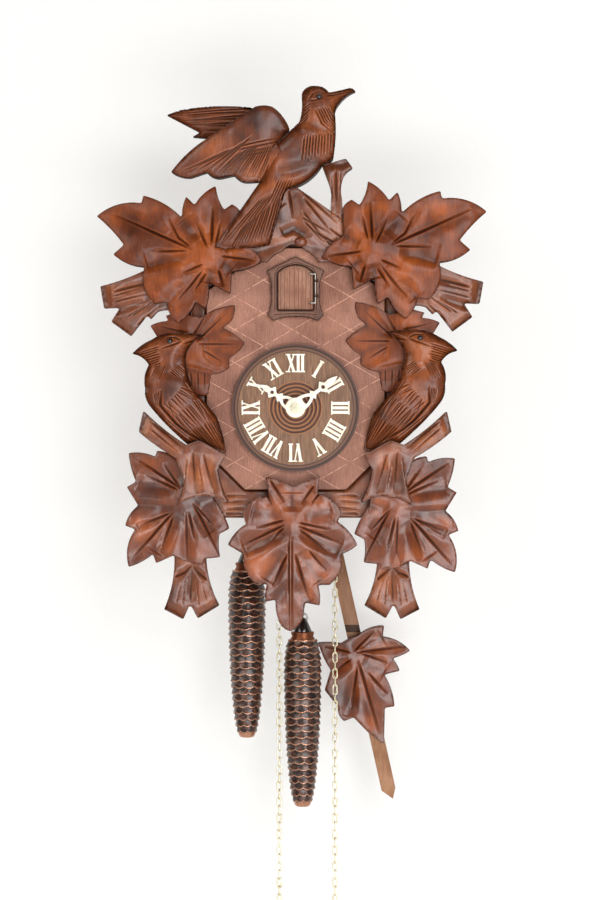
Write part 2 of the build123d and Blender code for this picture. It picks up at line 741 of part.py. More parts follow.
spool_half = link_half_width + link_wire_radius + chain_gap
spool_core = chain_wheel_radius - spool_half + 0.1
flange = 1.2


def chain_wheel(at):
    wheel = disc(spool_core, at, chain_y + spool_half, 2 * spool_half)
    wheel += disc(chain_wheel_radius + 0.8, at, chain_y + spool_half + flange, flange)
    return wheel + disc(chain_wheel_radius + 0.8, at, chain_y - spool_half, flange)


going_great_wheel = gear(going_teeth, train_module, going_at, going_phase, first_plane)
going_great_wheel += arbor(great_arbor_radius, going_at) + chain_wheel(going_at)
strike_great_wheel = gear(strike_great_teeth, train_module, strike_at, 0.0, strike_plane)
strike_great_wheel += arbor(great_arbor_radius, strike_at) + chain_wheel(strike_at)

centre_wheel = gear(centre_teeth, train_module, centre_at, centre_phase, first_plane)
centre_wheel += disc(4.0, centre_at, first_plane + 4.0, 4.0)
centre_wheel -= disc(minute_arbor_radius + fit_gap, centre_at, first_plane + 5.0, 10.0)

third_wheel = gear(third_pinion_teeth, train_module, third_at, third_phase, first_plane)
third_wheel += gear(third_teeth, train_module, third_at, third_phase, second_plane)
third_wheel += arbor(third_arbor_radius, third_at)

escape_teeth = []
for tooth in range(escape_tooth_count):
    start = 360 / escape_tooth_count * -tooth
    escape_teeth.append(around((0, 0), escape_radius - 1.4, start))
    escape_teeth.append(around((0, 0), escape_radius, start - 3))
escape_wheel = gear(escape_pinion_teeth, train_module, escape_at, escape_phase, second_plane)
escape_wheel += board(Pos(*escape_at) * Polygon(*escape_teeth, align=None), third_plane, wheel_thickness)
escape_wheel += arbor(escape_arbor_radius, escape_at)

strike_wheel = gear(strike_teeth, train_module, strike_wheel_at, strike_phase, strike_plane)
strike_wheel += disc(4.0, strike_wheel_at, strike_plane + 2.5, 2.5)
for pin in range(8):
    pin_at = around(strike_wheel_at, 9.0, pin * 45)
    strike_wheel += disc(0.7, pin_at, strike_plane + 3.0, 3.0)
strike_stud_radius = great_arbor_radius
strike_wheel -= disc(strike_stud_radius + fit_gap, strike_wheel_at, strike_plane + 4.0, 8.0)

cannon_y = front_plate_y - 2.2
hour_wheel_y = cannon_y - 2.6
minute_arbor = arbor(minute_arbor_radius, centre_at, arbor_high, nut_y - hand_nut_height - 0.3)
minute_arbor += gear(cannon_teeth, motion_module, centre_at, 0.0, cannon_y)
minute_arbor += disc(hand_nut_radius, centre_at, nut_y, hand_nut_height)
motion_stud_radius = 0.9
motion_wheel = gear(motion_teeth, motion_module, motion_at, motion_phase, cannon_y)
motion_wheel += gear(motion_pinion_teeth, hour_module, motion_at, motion_phase, cannon_y, 4.1)
motion_wheel -= disc(motion_stud_radius + fit_gap, motion_at, cannon_y + 1, 8.0)
hour_wheel = gear(hour_teeth, hour_module, centre_at, hour_phase, hour_wheel_y)
hour_wheel += disc(hour_pipe_radius, centre_at, hour_wheel_y, hour_wheel_y - hour_hand_y + hand_thickness)
hour_wheel -= disc(minute_arbor_radius + pipe_gap, centre_at, hour_wheel_y, 60.0)

# Movement plates on four pillars; the front plate also carries the cuckoo's post

pillar_places = [
    from_dial(-plate_half_width + 5.5, plate_top - 5),
    from_dial(plate_half_width - 5.5, plate_top - 5),
    from_dial(strike_arbor_x, 4 - plate_bottom),
    from_dial(going_arbor_x, 4 - plate_bottom),
]
sill_z = dial_z + opening_bottom
perch_y = front_plate_y + plate_thickness / 2
perch_low = sill_z + perch_above_sill
hub_low = perch_low - 1.7
pad_z = hub_low - cover_gap
ear = Pos(0, dial_z) * outline([
    (plate_half_width - 12, plate_top - 3), (perch_x - 4, pad_z - dial_z), (perch_x + 4, pad_z - dial_z),
    (perch_x + 4, pad_z - dial_z - 6), (plate_half_width, plate_top - 14),
])
plate_face = Pos(0, dial_z) * outline([
    (-plate_half_width, -plate_bottom), (-plate_half_width, plate_top), (plate_half_width, plate_top),
    (plate_half_width, -plate_bottom),
])
bores = [
    (centre_at, minute_arbor_radius), (going_at, great_arbor_radius), (strike_at, great_arbor_radius),
    (third_at, third_arbor_radius), (escape_at, escape_arbor_radius), (pivot_at, great_arbor_radius),
    (hammer_place, hammer_arbor_radius),
]
plate_holes = Sketch()
for at, radius in bores:
    plate_holes += Pos(*at) * Circle(radius + fit_gap)
for at in pillar_places:
    plate_holes += Pos(*at) * Circle(pillar_screw_radius)
rear_plate = board(plate_face - plate_holes, rear_plate_y, plate_thickness)
rear_plate += disc(strike_stud_radius, strike_wheel_at, rear_plate_front, 11.0)
front_plate = board(plate_face + ear - plate_holes, front_plate_back, plate_thickness)
front_plate += disc(motion_stud_radius, motion_at, front_plate_y, 7.2)
front_plate += slab(perch_x - 4, perch_x + 4, perch_y - 3, perch_y + 3, pad_z - 2, pad_z)
front_plate += post(post_radius, perch_x, perch_y, pad_z, perch_low + perch_height + 1.2)

pillars = []
for at in pillar_places:
    pillar = disc(pillar_radius, at, rear_plate_front, plate_spacing)
    pillar += disc(pillar_radius - 0.5, at, front_plate_y, front_plate_y - inner_y)
    pillar += disc(pillar_screw_radius, at, rear_plate_y + 3.2, rear_plate_y + 3.2 - front_plate_y)
    pillar += board(Pos(*at) * RegularPolygon(pillar_radius, 6), rear_plate_y + 2.4, 2.4)
    pillars.append(pillar)

# Anchor on its arbor, which carries the pendulum behind the rear plate

tilt_at_rest = Pos(0, 0, pivot_at[1]) * Rot(0, -pendulum_tilt, 0)
anchor_turn = bearing_of(pivot_at, escape_at)
anchor_half = outline([(0, 2.0), (6.5, 11.7), (10.5, 11.7), (10.5, 9.8), (7.8, 9.4), (2.6, 0.0), (0, 0)])
anchor_face = Circle(3.2) + anchor_half + mirror(anchor_half, about=Plane.XZ)
anchor = board(Rot(0, 0, anchor_turn) * anchor_face, third_plane, wheel_thickness)
rod_back = -pendulum_back + rod_thickness / 2
verge_arbor = arbor(great_arbor_radius, (0, 0), rod_back + 1.0)
verge = tilt_at_rest * (anchor + verge_arbor)
rod_half = rod_width / 2
rod_face = outline([
    (-rod_half, -pendulum_length + 7.0), (-rod_half, 6.0, 2.0), (rod_half, 6.0),
    (rod_half, -pendulum_length + 7.0), (1.5, -pendulum_length),
]) - Circle(great_arbor_radius)
pendulum_rod = tilt_at_rest * board(rod_face, rod_back, rod_thickness)
bob = carving([
    (-24.5, 7.5, 0.6), (-9.0, 7.0, 0.6), (2.0, 12.0, 2.0), (20.0, 19.0), (19.0, 11.5, 2.0),
    (37.5, 2.0, 0.6), (25.5, -3.0, 0.6), (30.5, -11.5), (20.0, -14.0, 1.5), (27.0, -35.5), (20.5, -36.5),
    (20.0, -61.0), (9.0, -53.0), (-0.5, -43.0), (-7.0, -45.5, 1.5), (-11.0, -36.0), (-20.0, -24.5),
    (-16.0, -11.0, 0.8),
], height=9.0, crown=320.0, y_back=rod_back - rod_thickness)
bob_at = around(pivot_at, leaf_bob_distance, -90 + pendulum_tilt - 0.75)
pendulum_leaf = Pos(bob_at[0], 0, bob_at[1]) * bob

# Chains of separate links, every second one turned

link_inner_half = (chain_pitch + link_slack) / 2
link_straight = link_inner_half + link_wire_radius - link_half_width
link_end = link_straight + link_half_width
link_path = Wire([
    Line((link_half_width, 0, -link_straight), (link_half_width, 0, link_straight)),
    ThreePointArc(
        (link_half_width, 0, link_straight), (0, 0, link_end), (-link_half_width, 0, link_straight),
    ),
    Line((-link_half_width, 0, link_straight), (-link_half_width, 0, -link_straight)),
    ThreePointArc(
        (-link_half_width, 0, -link_straight), (0, 0, -link_end), (link_half_width, 0, -link_straight),
    ),
])
link_section = Plane((link_half_width, 0, -link_straight), z_dir=(0, 0, 1)) * Circle(link_wire_radius)
link = sweep(link_section, path=link_path)


def turned_link(number):
    return Rot(0, 0, 90 * (number % 2)) * link


def strand(x, ring_z, ring_radius, z_limit):
    """Links from a ring upward, as many as end below z_limit. The lowest link holds the ring."""
    lowest = ring_z + ring_radius - hook_wire_radius - link_slack + link_inner_half
    count = int((z_limit - lowest - link_end - link_wire_radius) / chain_pitch) + 1
    heights = [lowest + number * chain_pitch for number in range(count)]
    return [Pos(x, chain_y, z) * turned_link(number) for number, z in enumerate(heights, start=1)]


def ring(radius, x, z):
    return Pos(x, chain_y, z) * Rot(90, 0, 0) * Torus(radius, hook_wire_radius)


# On each chain wheel a link takes the place of the one before it, so these links are drawn standing still
wrap_step = 2 * math.degrees(math.atan(chain_pitch / 2 / chain_wheel_radius))
wrap_links = 7
wrap_start = 90 - wrap_step * (wrap_links - 1) / 2
chain_wraps = []
for at in (strike_at, going_at):
    for number in range(wrap_links):
        turn = wrap_start + number * wrap_step
        spot = Pos(at[0], chain_y, at[1]) * Rot(0, -turn, 0) * Pos(chain_wheel_radius, 0, 0)
        chain_wraps.append(spot * turned_link(number))

great_z = dial_z - great_arbor_drop
weight_strand_top = great_z - 3.2
free_strand_top = weight_strand_top - chain_travel - chain_gap
pull_ring_z = dial_z - free_chain_drop
free_chains = []
for x in (chain_places[1], chain_places[3]):
    links = strand(x, pull_ring_z, pull_ring_radius, free_strand_top)
    free_chains.append(links + [ring(pull_ring_radius, x, pull_ring_z)])

# Weights shaped like fir cones, each under a black cap with a ring

cone_top_radius = 6.0
cone_tip_radius = 2.7
cone_shoulder = 0.22           # widest place, as a share of the length
cone_belly = 0.42              # how long the cone keeps its width before the tip


def cone_radius_at(share):
    if share < cone_shoulder:
        rise = math.sin(math.pi / 2 * share / cone_shoulder)
        return cone_top_radius + (cone_radius - cone_top_radius) * rise
    fall = math.cos(math.pi / 2 * (share - cone_shoulder) / (1 - cone_shoulder))
    return cone_tip_radius + (cone_radius - cone_tip_radius) * fall ** cone_belly


cone_points = [(0, 0)]
for row in range(cone_rows):
    upper = row / cone_rows
    lower = (row + 1) / cone_rows
    cone_points.append((cone_radius_at(upper) - cone_ridge, -upper * cone_length))
    cone_points.append((cone_radius_at(lower) + cone_ridge, -lower * cone_length))
cone_points.append((0, -cone_length))
cone = revolve(Plane.XZ * Polygon(*cone_points, align=None), axis=Axis.Z)
cap = Pos(0, 0, cap_height / 2) * Cone(cap_radius, hook_wire_radius + 0.9, cap_height)
ring_rise = cap_height + hook_ring_radius - 0.5


def weight(x, drop):
    z = dial_z - drop
    hook = Pos(x, chain_y, z) * cap + ring(hook_ring_radius, x, z + ring_rise)
    return [Pos(x, chain_y, z) * cone, hook]


left_weight = weight(chain_places[0], left_weight_drop)
right_weight = weight(chain_places[2], right_weight_drop)
left_weight_chain = strand(
    chain_places[0], dial_z - left_weight_drop + ring_rise, hook_ring_radius, weight_strand_top)
right_weight_chain = strand(
    chain_places[2], dial_z - right_weight_drop + ring_rise, hook_ring_radius, weight_strand_top)

# Cuckoo call: a whistle with a bellows on each side wall

whistle_x = inner_half_width - whistle_width
whistle_front = -whistle_back - whistle_depth
whistle_top_z = dial_z + whistle_top
lid_z = whistle_top_z + folds_height
right_whistle = slab(
    whistle_x, inner_half_width, whistle_front, -whistle_back, whistle_top_z - whistle_height, whistle_top_z)
mouth_y = whistle_front + whistle_depth / 2
mouth_z = whistle_top_z - whistle_height / 2
right_whistle -= slab(
    whistle_x + 4, inner_half_width,
    mouth_y - sound_hole_width / 2 + 2, mouth_y + sound_hole_width / 2 - 2,
    mouth_z - sound_hole_height / 2 + 4, mouth_z + sound_hole_height / 2 - 4,
)
whistles = [right_whistle, other_side(right_whistle)]
bellows_low_x = whistle_x + cover_gap
bellows_high_x = inner_half_width - cover_gap
right_bellows_lid = slab(
    bellows_low_x, bellows_high_x,
    whistle_front + cover_gap, -whistle_back - cover_gap,
    lid_z, lid_z + lid_thickness,
)
fold = folds_height / 4
crease = 1.5
folds_profile = Pos(0, whistle_top_z) * outline([
    (bellows_low_x, 0), (bellows_low_x + crease, fold), (bellows_low_x, 2 * fold),
    (bellows_low_x + crease, 3 * fold), (bellows_low_x, 4 * fold),
    (bellows_high_x, 4 * fold), (bellows_high_x - crease, 3 * fold),
    (bellows_high_x, 2 * fold), (bellows_high_x - crease, fold), (bellows_high_x, 0),
])
right_bellows_folds = board(folds_profile, -whistle_back - 1, whistle_depth - 2)

# Coiled gong on a block on the rear cover, and its hammer

gong_centre = from_dial(*gong_at)
gong_y = -gong_back
gong_edges = []
for half_turn in range(gong_half_turns):
    radius = gong_first_radius + gong_growth * half_turn
    side = 1 if half_turn % 2 == 0 else -1
    middle_x = gong_centre[0] - (gong_growth if side < 0 else 0)
    z = gong_centre[1]
    gong_edges.append(ThreePointArc(
        (middle_x - side * radius, gong_y, z),
        (middle_x, gong_y, z + side * radius),
        (middle_x + side * radius, gong_y, z),
    ))
gong_start = gong_centre[0] - gong_first_radius
gong_section = Plane((gong_start, gong_y, gong_centre[1]), z_dir=(0, 0, 1)) * Circle(gong_wire_radius)
gong_coil = sweep(gong_section, path=Wire(gong_edges))
turn_gaps = [one.distance_to(two) - 2 * gong_wire_radius for one, two in zip(gong_edges, gong_edges[2:])]
print("least gap between turns of the gong:", round(min(turn_gaps), 2))
cover_inside = cover_y - knuckle_radius
block_half = 3.5
gong = gong_coil + slab(
    gong_start - block_half, gong_start + block_half, gong_y - gong_wire_radius - 1.5, cover_inside,
    gong_centre[1] - block_half, gong_centre[1] + block_half,
)

gong_reach = gong_first_radius + gong_growth * (gong_half_turns - 1) + gong_wire_radius
hammer_head_radius = 3.2
hammer_head_length = 7.0
hammer_rest_gap = 1.2
head_x = gong_centre[0] - gong_reach - hammer_rest_gap - hammer_head_length / 2
hammer = arbor(hammer_arbor_radius, hammer_place, gong_y + 2.0, arbor_low)
hammer += disc(hammer_arbor_radius + 1.5, hammer_place, gong_y + 2.0, 4.0)
hammer_rod = Line((hammer_place[0], gong_y, hammer_place[1]), (head_x, gong_y, gong_centre[1]))
hammer += sweep(Plane(hammer_rod @ 0, z_dir=hammer_rod % 0) * Circle(1.0), path=hammer_rod)
hammer_head = Rot(0, 90, 0) * Cylinder(hammer_head_radius, hammer_head_length)
hammer += Pos(head_x, gong_y, gong_centre[1]) * hammer_head

# Cuckoo on a swinging perch, drawn when it is out and then turned in to rest

bird_x, bird_y = bird_out
bird_z = dial_z + bird_above_dial
perch_top = perch_low + perch_height
spindle = make_face([
    SagittaArc((0, -bird_length / 2), (0, bird_length / 2), -bird_radius),
    Line((0, bird_length / 2), (0, -bird_length / 2)),
])
cuckoo = revolve(spindle, axis=Axis.Y)
cuckoo += Pos(0, -6.0, 2.6) * Sphere(3.0)
cuckoo += Pos(0, -9.2, 2.4) * Rot(90, 0, 0) * Cone(1.3, 0.2, 2.6)
cuckoo += Pos(0, 7.5, 0) * Box(3.6, 5.0, 1.2)
cuckoo = Pos(bird_x, bird_y, bird_z) * cuckoo
half_bar = perch_bar / 2
perch = slab(bird_x - half_bar, perch_x, perch_y - half_bar, perch_y + half_bar, perch_low, perch_top)
perch += slab(
    bird_x - half_bar, bird_x + half_bar, bird_y - half_bar, perch_y + half_bar, perch_low, perch_top,
)
perch += post(4.0, perch_x, perch_y, hub_low, perch_top)
perch += post(1.2, bird_x, bird_y, perch_top, bird_z)
perch -= post(post_radius + fit_gap, perch_x, perch_y, hub_low - 1, perch_top + 1)


def turned_in(shape):
    return Pos(perch_x, perch_y, 0) * Rot(0, 0, -perch_swing) * Pos(-perch_x, -perch_y, 0) * shape


cuckoo_bird = turned_in(cuckoo)
cuckoo_arm = turned_in(perch) - cuckoo_bird

# One file for each piece

nodes = {
    "case_front": case_front,
    "case_left_side": case_left_side,
    "case_right_side": case_right_side,
    "case_floor": case_floor,
    "back_board": back_board,
    "roof_boards": roof_boards,
    "rear_cover": rear_cover,
    "turn_button": turn_button,
    "carved_frame": settled["carved_frame"],
    "front_panel": settled["front_panel"],
    "door_surround": door_surround,
    "cuckoo_door": cuckoo_door,
    "door_hinge_wire": door_hinge_wire,
    "crest_gable": settled["crest_gable"],
    "crest_bird": settled["crest_bird"],
    "crest_near_wing": settled["crest_near_wing"],
    "upper_left_leaf": settled["upper_left_leaf"],
    "upper_right_leaf": settled["upper_right_leaf"],
    "left_bird": settled["left_bird"],
    "right_bird": settled["right_bird"],
    "bird_leaves": [settled["left_bird_leaf"], settled["right_bird_leaf"]],
    "branches": [settled[name] for name in settled if "twig" in name or "branch" in name],
    "lower_left_leaf": settled["lower_left_leaf"],
    "lower_right_leaf": settled["lower_right_leaf"],
    "centre_leaf": settled["centre_leaf"],
    "dial": dial,
    "numerals": numerals,
    "hour_hand": hour_hand,
    "minute_hand": minute_hand,
    "front_plate": front_plate,
    "rear_plate": rear_plate,
    "pillars": pillars,
    "minute_arbor": minute_arbor,
    "hour_wheel": hour_wheel,
    "motion_wheel": motion_wheel,
    "centre_wheel": centre_wheel,
    "third_wheel": third_wheel,
    "escape_wheel": escape_wheel,
    "verge": verge,
    "going_great_wheel": going_great_wheel,
    "strike_great_wheel": strike_great_wheel,
    "strike_wheel": strike_wheel,
    "hammer": hammer,
    "gong": gong,
    "whistles": whistles,
    "left_bellows_lid": other_side(right_bellows_lid),
    "right_bellows_lid": right_bellows_lid,
    "left_bellows_folds": other_side(right_bellows_folds),
    "right_bellows_folds": right_bellows_folds,
    "left_weight_chain": left_weight_chain,
    "right_weight_chain": right_weight_chain,
    "left_free_chain": free_chains[0],
    "right_free_chain": free_chains[1],
    "chain_wraps": chain_wraps,
    "left_weight": left_weight,
    "right_weight": right_weight,
    "pendulum_rod": pendulum_rod,
    "pendulum_leaf": pendulum_leaf,
    "cuckoo_bird": cuckoo_bird,
    "cuckoo_arm": cuckoo_arm,
}
for name, shape in nodes.items():
    if isinstance(shape, list):
        shape = Compound(children=shape)
    export_step(shape, f"parts/{name}.step")
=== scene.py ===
# %% [markdown]
# # A carved cuckoo clock
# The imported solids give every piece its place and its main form. This lesson dresses them:
# it cuts veins and feathers into the carved wood, gives the weights their scales, links the chains,
# and stains, turns and plates each surface.

# %% Load the frame
import bpy
import bmesh
import math
import numpy as np
from mathutils import Matrix, Vector, kdtree, noise


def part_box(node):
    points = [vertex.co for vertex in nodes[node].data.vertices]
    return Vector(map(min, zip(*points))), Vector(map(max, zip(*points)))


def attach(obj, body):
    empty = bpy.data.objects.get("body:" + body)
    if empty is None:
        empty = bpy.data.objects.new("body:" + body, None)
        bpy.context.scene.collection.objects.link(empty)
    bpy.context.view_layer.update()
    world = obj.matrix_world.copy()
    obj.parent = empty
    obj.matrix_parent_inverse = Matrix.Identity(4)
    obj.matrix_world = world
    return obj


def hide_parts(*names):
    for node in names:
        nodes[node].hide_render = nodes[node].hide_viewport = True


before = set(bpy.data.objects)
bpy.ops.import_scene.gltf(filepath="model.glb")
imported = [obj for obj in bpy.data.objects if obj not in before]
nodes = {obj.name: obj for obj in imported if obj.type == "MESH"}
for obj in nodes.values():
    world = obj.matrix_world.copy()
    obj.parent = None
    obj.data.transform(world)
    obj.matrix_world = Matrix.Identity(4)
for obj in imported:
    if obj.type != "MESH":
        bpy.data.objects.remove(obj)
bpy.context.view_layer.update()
MM = 0.001
DIAL = -0.085
print("pieces in the frame:", len(nodes))

# %% [markdown]
# The photograph looks straight at the dial from under two metres away, so near carvings are a little
# larger than the pendulum behind them. A long lens at that distance gives the same overlaps.
# The field is worked out from the height of the picture at the plane of the front.

# %% Camera
PICTURE_HEIGHT = 0.585
FRONT_PLANE = -0.100
DISTANCE = 1.8
AIM_RIGHT = 0.0029
AIM_BELOW_DIAL = 0.0273
lens = bpy.data.cameras.new("camera")
lens.sensor_fit = "VERTICAL"
lens.angle = 2 * math.atan(PICTURE_HEIGHT / 2 / DISTANCE)
camera = bpy.data.objects.new("camera", lens)
camera.location = (AIM_RIGHT, FRONT_PLANE - DISTANCE, DIAL - AIM_BELOW_DIAL)
camera.rotation_euler = (math.radians(90), 0, 0)
bpy.context.scene.collection.objects.link(camera)
bpy.context.scene.camera = camera
print("field of view:", round(math.degrees(lens.angle), 2))

# %% [markdown]
# Finishes are sums of patterns. One class wraps a socket so that sums are written as Python, and a second
# one holds a material and adds any other node. Only colour, roughness, metal, coat, normal and the like
# change over a surface. Everything else is one number on the shader.

# %% Shader helpers
def operator(operation, swapped=False):
    """A method that joins a socket and another term."""
    def method(self, other):
        return self.sum(operation, *((other, self) if swapped else (self, other)))
    return method


class Wire:
    """A socket that takes part in sums."""

    __add__ = __radd__ = operator("ADD")
    __mul__ = __rmul__ = operator("MULTIPLY")
    __sub__ = operator("SUBTRACT")
    __rsub__ = operator("SUBTRACT", swapped=True)
    __truediv__ = operator("DIVIDE")
    __pow__ = operator("POWER")

    def __init__(self, tree, socket):
        self.tree = tree
        self.socket = socket

    def sum(self, operation, *terms):
        node = self.tree.nodes.new("ShaderNodeMath")
        node.operation = operation
        for plug, term in zip(node.inputs, terms):
            join(self.tree, plug, term)
        return Wire(self.tree, node.outputs[0])

    def fade(self, low, high):
        """0 below low, 1 above high, smooth between. It falls where low is above high."""
        node = self.tree.nodes.new("ShaderNodeMapRange")
        node.interpolation_type = "SMOOTHSTEP"
        join(self.tree, node.inputs["Value"], self)
        start, end = sorted((low, high))
        falling = float(low > high)
        ends = {"From Min": start, "From Max": end, "To Min": falling, "To Max": 1 - falling}
        for plug, value in ends.items():
            node.inputs[plug].default_value = value
        return Wire(self.tree, node.outputs[0])


def join(tree, plug, term):
    if isinstance(term, Wire):
        tree.links.new(term.socket, plug)
    else:
        plug.default_value = term


def tint(red, green, blue):
    """A colour given as on a screen, 0 to 255."""
    parts = [part / 255 for part in (red, green, blue)]
    return tuple(p / 12.92 if p <= 0.04045 else ((p + 0.055) / 1.055) ** 2.4 for p in parts) + (1.0,)


class Finish:
    """A material with one shader. Positions come in millimetres."""

    def __init__(self, name, **numbers):
        self.material = bpy.data.materials.new(name)
        self.material.use_nodes = True
        self.tree = self.material.node_tree
        self.shader = self.tree.nodes["Principled BSDF"]
        for socket, value in numbers.items():
            self.shader.inputs[socket.replace("_", " ")].default_value = value
        place = Wire(self.tree, self.tree.nodes.new("ShaderNodeTexCoord").outputs["Object"])
        self.place = self.node("VectorMath", {"operation": "SCALE"}, {"Vector": place, "Scale": 1 / MM})

    def node(self, kind, settings, inputs, output=0):
        node = self.tree.nodes.new("ShaderNode" + kind)
        stops = settings.get("stops")
        for key, value in settings.items():
            if key != "stops":
                setattr(node, key, value)
        if stops:
            while len(node.color_ramp.elements) < len(stops):
                node.color_ramp.elements.new(0.5)
            for element, (spot, colour) in zip(node.color_ramp.elements, stops):
                element.position = spot
                element.color = colour
        for key, value in inputs.items():
            join(self.tree, node.inputs[key], value)
        return Wire(self.tree, node.outputs[output])

    def stretched(self, scale, shift=(0, 0, 0)):
        return self.node("Mapping", {}, {"Vector": self.place, "Scale": scale, "Location": shift})

    def noise(self, place, scale, detail=3.0, roughness=0.55, distortion=0.0):
        inputs = {"Vector": place, "Scale": scale, "Detail": detail}
        return self.node("TexNoise", {}, dict(inputs, Roughness=roughness, Distortion=distortion))

    def ramp(self, value, stops):
        return self.node("ValToRGB", {"stops": stops}, {"Fac": value})

    def mix(self, share, first, second):
        return self.node("Mix", {"data_type": "RGBA"}, {0: share, 6: first, 7: second}, 2)

    def axis(self, name):
        return self.node("SeparateXYZ", {}, {"Vector": self.place}, name)

    def mark(self, name):
        """A number that was written on the mesh, such as how deep a cut is."""
        return self.node("Attribute", {"attribute_name": name}, {}, "Fac")

    def bump(self, height, strength, distance):
        normal = self.node("Bump", {}, {"Strength": strength, "Distance": distance, "Height": height})
        self.shade(Normal=normal)

    def shade(self, **links):
        for socket, value in links.items():
            join(self.tree, self.shader.inputs[socket.replace("_", " ")], value)
        return self.material


# %% [markdown]
# Stained lime wood is reddish brown with fine streaks along the grain, short dark pores, and cloudy patches
# where the stain took unevenly. Cuts, hollows, outlines and side walls are darkened, partly by dark stain and
# partly as painted shade, and rims of cuts are lightened, partly rubbed paler and partly as a painted highlight.
# Carving leaves four numbers on the mesh for this stain and painted light to read: "cut", "rim", "hollow" and
# "edge".
# The leaves beside the roof are more matt than the lower ones, and the rod has one dark band.

# %% Wood
UP = (1.0, 1.0, 0.10)
DEEP = (1.0, 0.10, 1.0)


def wood(
        name, dark, middle, light, grain=UP, gloss=0.40, coat=0.9, streaks=1.0,
        shift=(0, 0, 0), wear_and_highlight=0.5, band=None):
    finish = Finish(name, Coat_Roughness=0.32, Coat_IOR=1.62, Specular_IOR_Level=0.1)
    along = finish.stretched(grain, shift)
    clouds = finish.noise(finish.stretched((1, 1, 1), shift), 0.040, 2.0, 0.5)
    rings = finish.noise(along, 0.32, 4.0, 0.6, 0.8)
    streak = finish.noise(along, 1.9, 3.0, 0.65)
    pores = finish.noise(along, 4.2, 2.0, 0.5).fade(0.60, 0.70)
    tone = clouds * 0.60 + rings * 0.20 + streak * (0.20 * streaks) + 0.10 * (1 - streaks)
    colour = finish.ramp(tone, [(0.36, dark), (0.50, middle), (0.63, light)])
    colour = finish.mix(pores * (0.25 * streaks), colour, dark)
    deep = tuple(0.42 * part for part in dark[:3]) + (1.0,)
    black = tuple(0.22 * part for part in dark[:3]) + (1.0,)
    cut = finish.mark("cut")
    edge = finish.mark("edge")
    # Dark stain and painted shade: hollows and a band near the outlines are darkened.
    stain_and_painted_shade = finish.mark("hollow") * 0.45 + edge.fade(0.0, 1.0) * clouds.fade(0.40, 0.62) * 0.55
    colour = finish.mix(stain_and_painted_shade.sum("MINIMUM", stain_and_painted_shade, 0.8), colour, deep)
    # Rims of cuts are lightened: partly rubbed wear, partly a painted highlight.
    colour = finish.mix(finish.mark("rim") * wear_and_highlight, colour, light)
    # Cuts, outlines and side walls go nearly black: partly stain, partly painted shade.
    line = cut.sum("MAXIMUM", cut.fade(0.05, 0.9) * 0.75, edge.fade(0.80, 0.95) * 0.85)
    colour = finish.mix(line, colour, black)
    if band:
        height = finish.axis("Z") - DIAL / MM
        inside = height.fade(band[0], band[0] + 0.4) * height.fade(band[1], band[1] - 0.4)
        colour = finish.mix(inside, colour, deep)
    rough = gloss + 0.14 * streak + 0.10 * pores + 0.25 * line
    finish.bump(streak * 0.6 - pores * 0.7, 0.35 * streaks, 0.12 * MM)
    return finish.shade(Base_Color=colour, Roughness=rough, Coat_Weight=coat * (1 - 0.8 * line))


leaf_wood = wood("leaf_wood", tint(74, 30, 10), tint(118, 54, 19), tint(162, 80, 30))
matt_leaf_wood = wood(
    "matt_leaf_wood", tint(74, 30, 10), tint(122, 56, 19), tint(166, 82, 30), coat=0.35, shift=(70, 20, 0))
bird_wood = wood(
    "bird_wood", tint(60, 26, 10), tint(108, 50, 21), tint(160, 84, 38), coat=0.6, shift=(40, 0, 90), wear_and_highlight=0.75)
branch_wood = wood("branch_wood", tint(76, 33, 12), tint(122, 60, 26), tint(166, 90, 42), shift=(10, 60, 20))
case_wood = wood("case_wood", tint(66, 35, 23), tint(100, 56, 37), tint(130, 80, 54), gloss=0.45, coat=0.1)
roof_wood = wood("roof_wood", tint(58, 31, 21), tint(92, 51, 33), tint(122, 73, 49), DEEP, gloss=0.45, coat=0.1)
door_wood = wood("door_wood", tint(112, 72, 56), tint(154, 108, 87), tint(190, 143, 119), UP, 0.5, 0.1, 1.6)
sawn_wood = wood("sawn_wood", tint(84, 54, 42), tint(124, 86, 70), tint(152, 110, 91), gloss=0.42, coat=0.25)
pale_wood = wood("pale_wood", tint(176, 134, 88), tint(206, 168, 118), tint(226, 194, 150), DEEP, 0.6, 0.0)
ROD_BAND = (-150.5, -145.0)
rod_wood = wood(
    "rod_wood", tint(110, 72, 50), tint(148, 104, 76), tint(172, 128, 98), gloss=0.5, coat=0.1, band=ROD_BAND)
print("woods:", len(bpy.data.materials))

# %% [markdown]
# The flat panel is lime wood with an upright grain, left rougher than the carvings. A lattice of pale lines is
# scored over it. The lines are two families of slanted stripes, so each is one sum of the place across and up,
# folded by a pitch. The scores break up a little where the knife lifted.

# %% Panel with a scored lattice
LATTICE_WIDE = 37.5
LATTICE_HIGH = 21.5
LATTICE_CROSSING = (-2.1, -34.2)
SCORE = 0.24


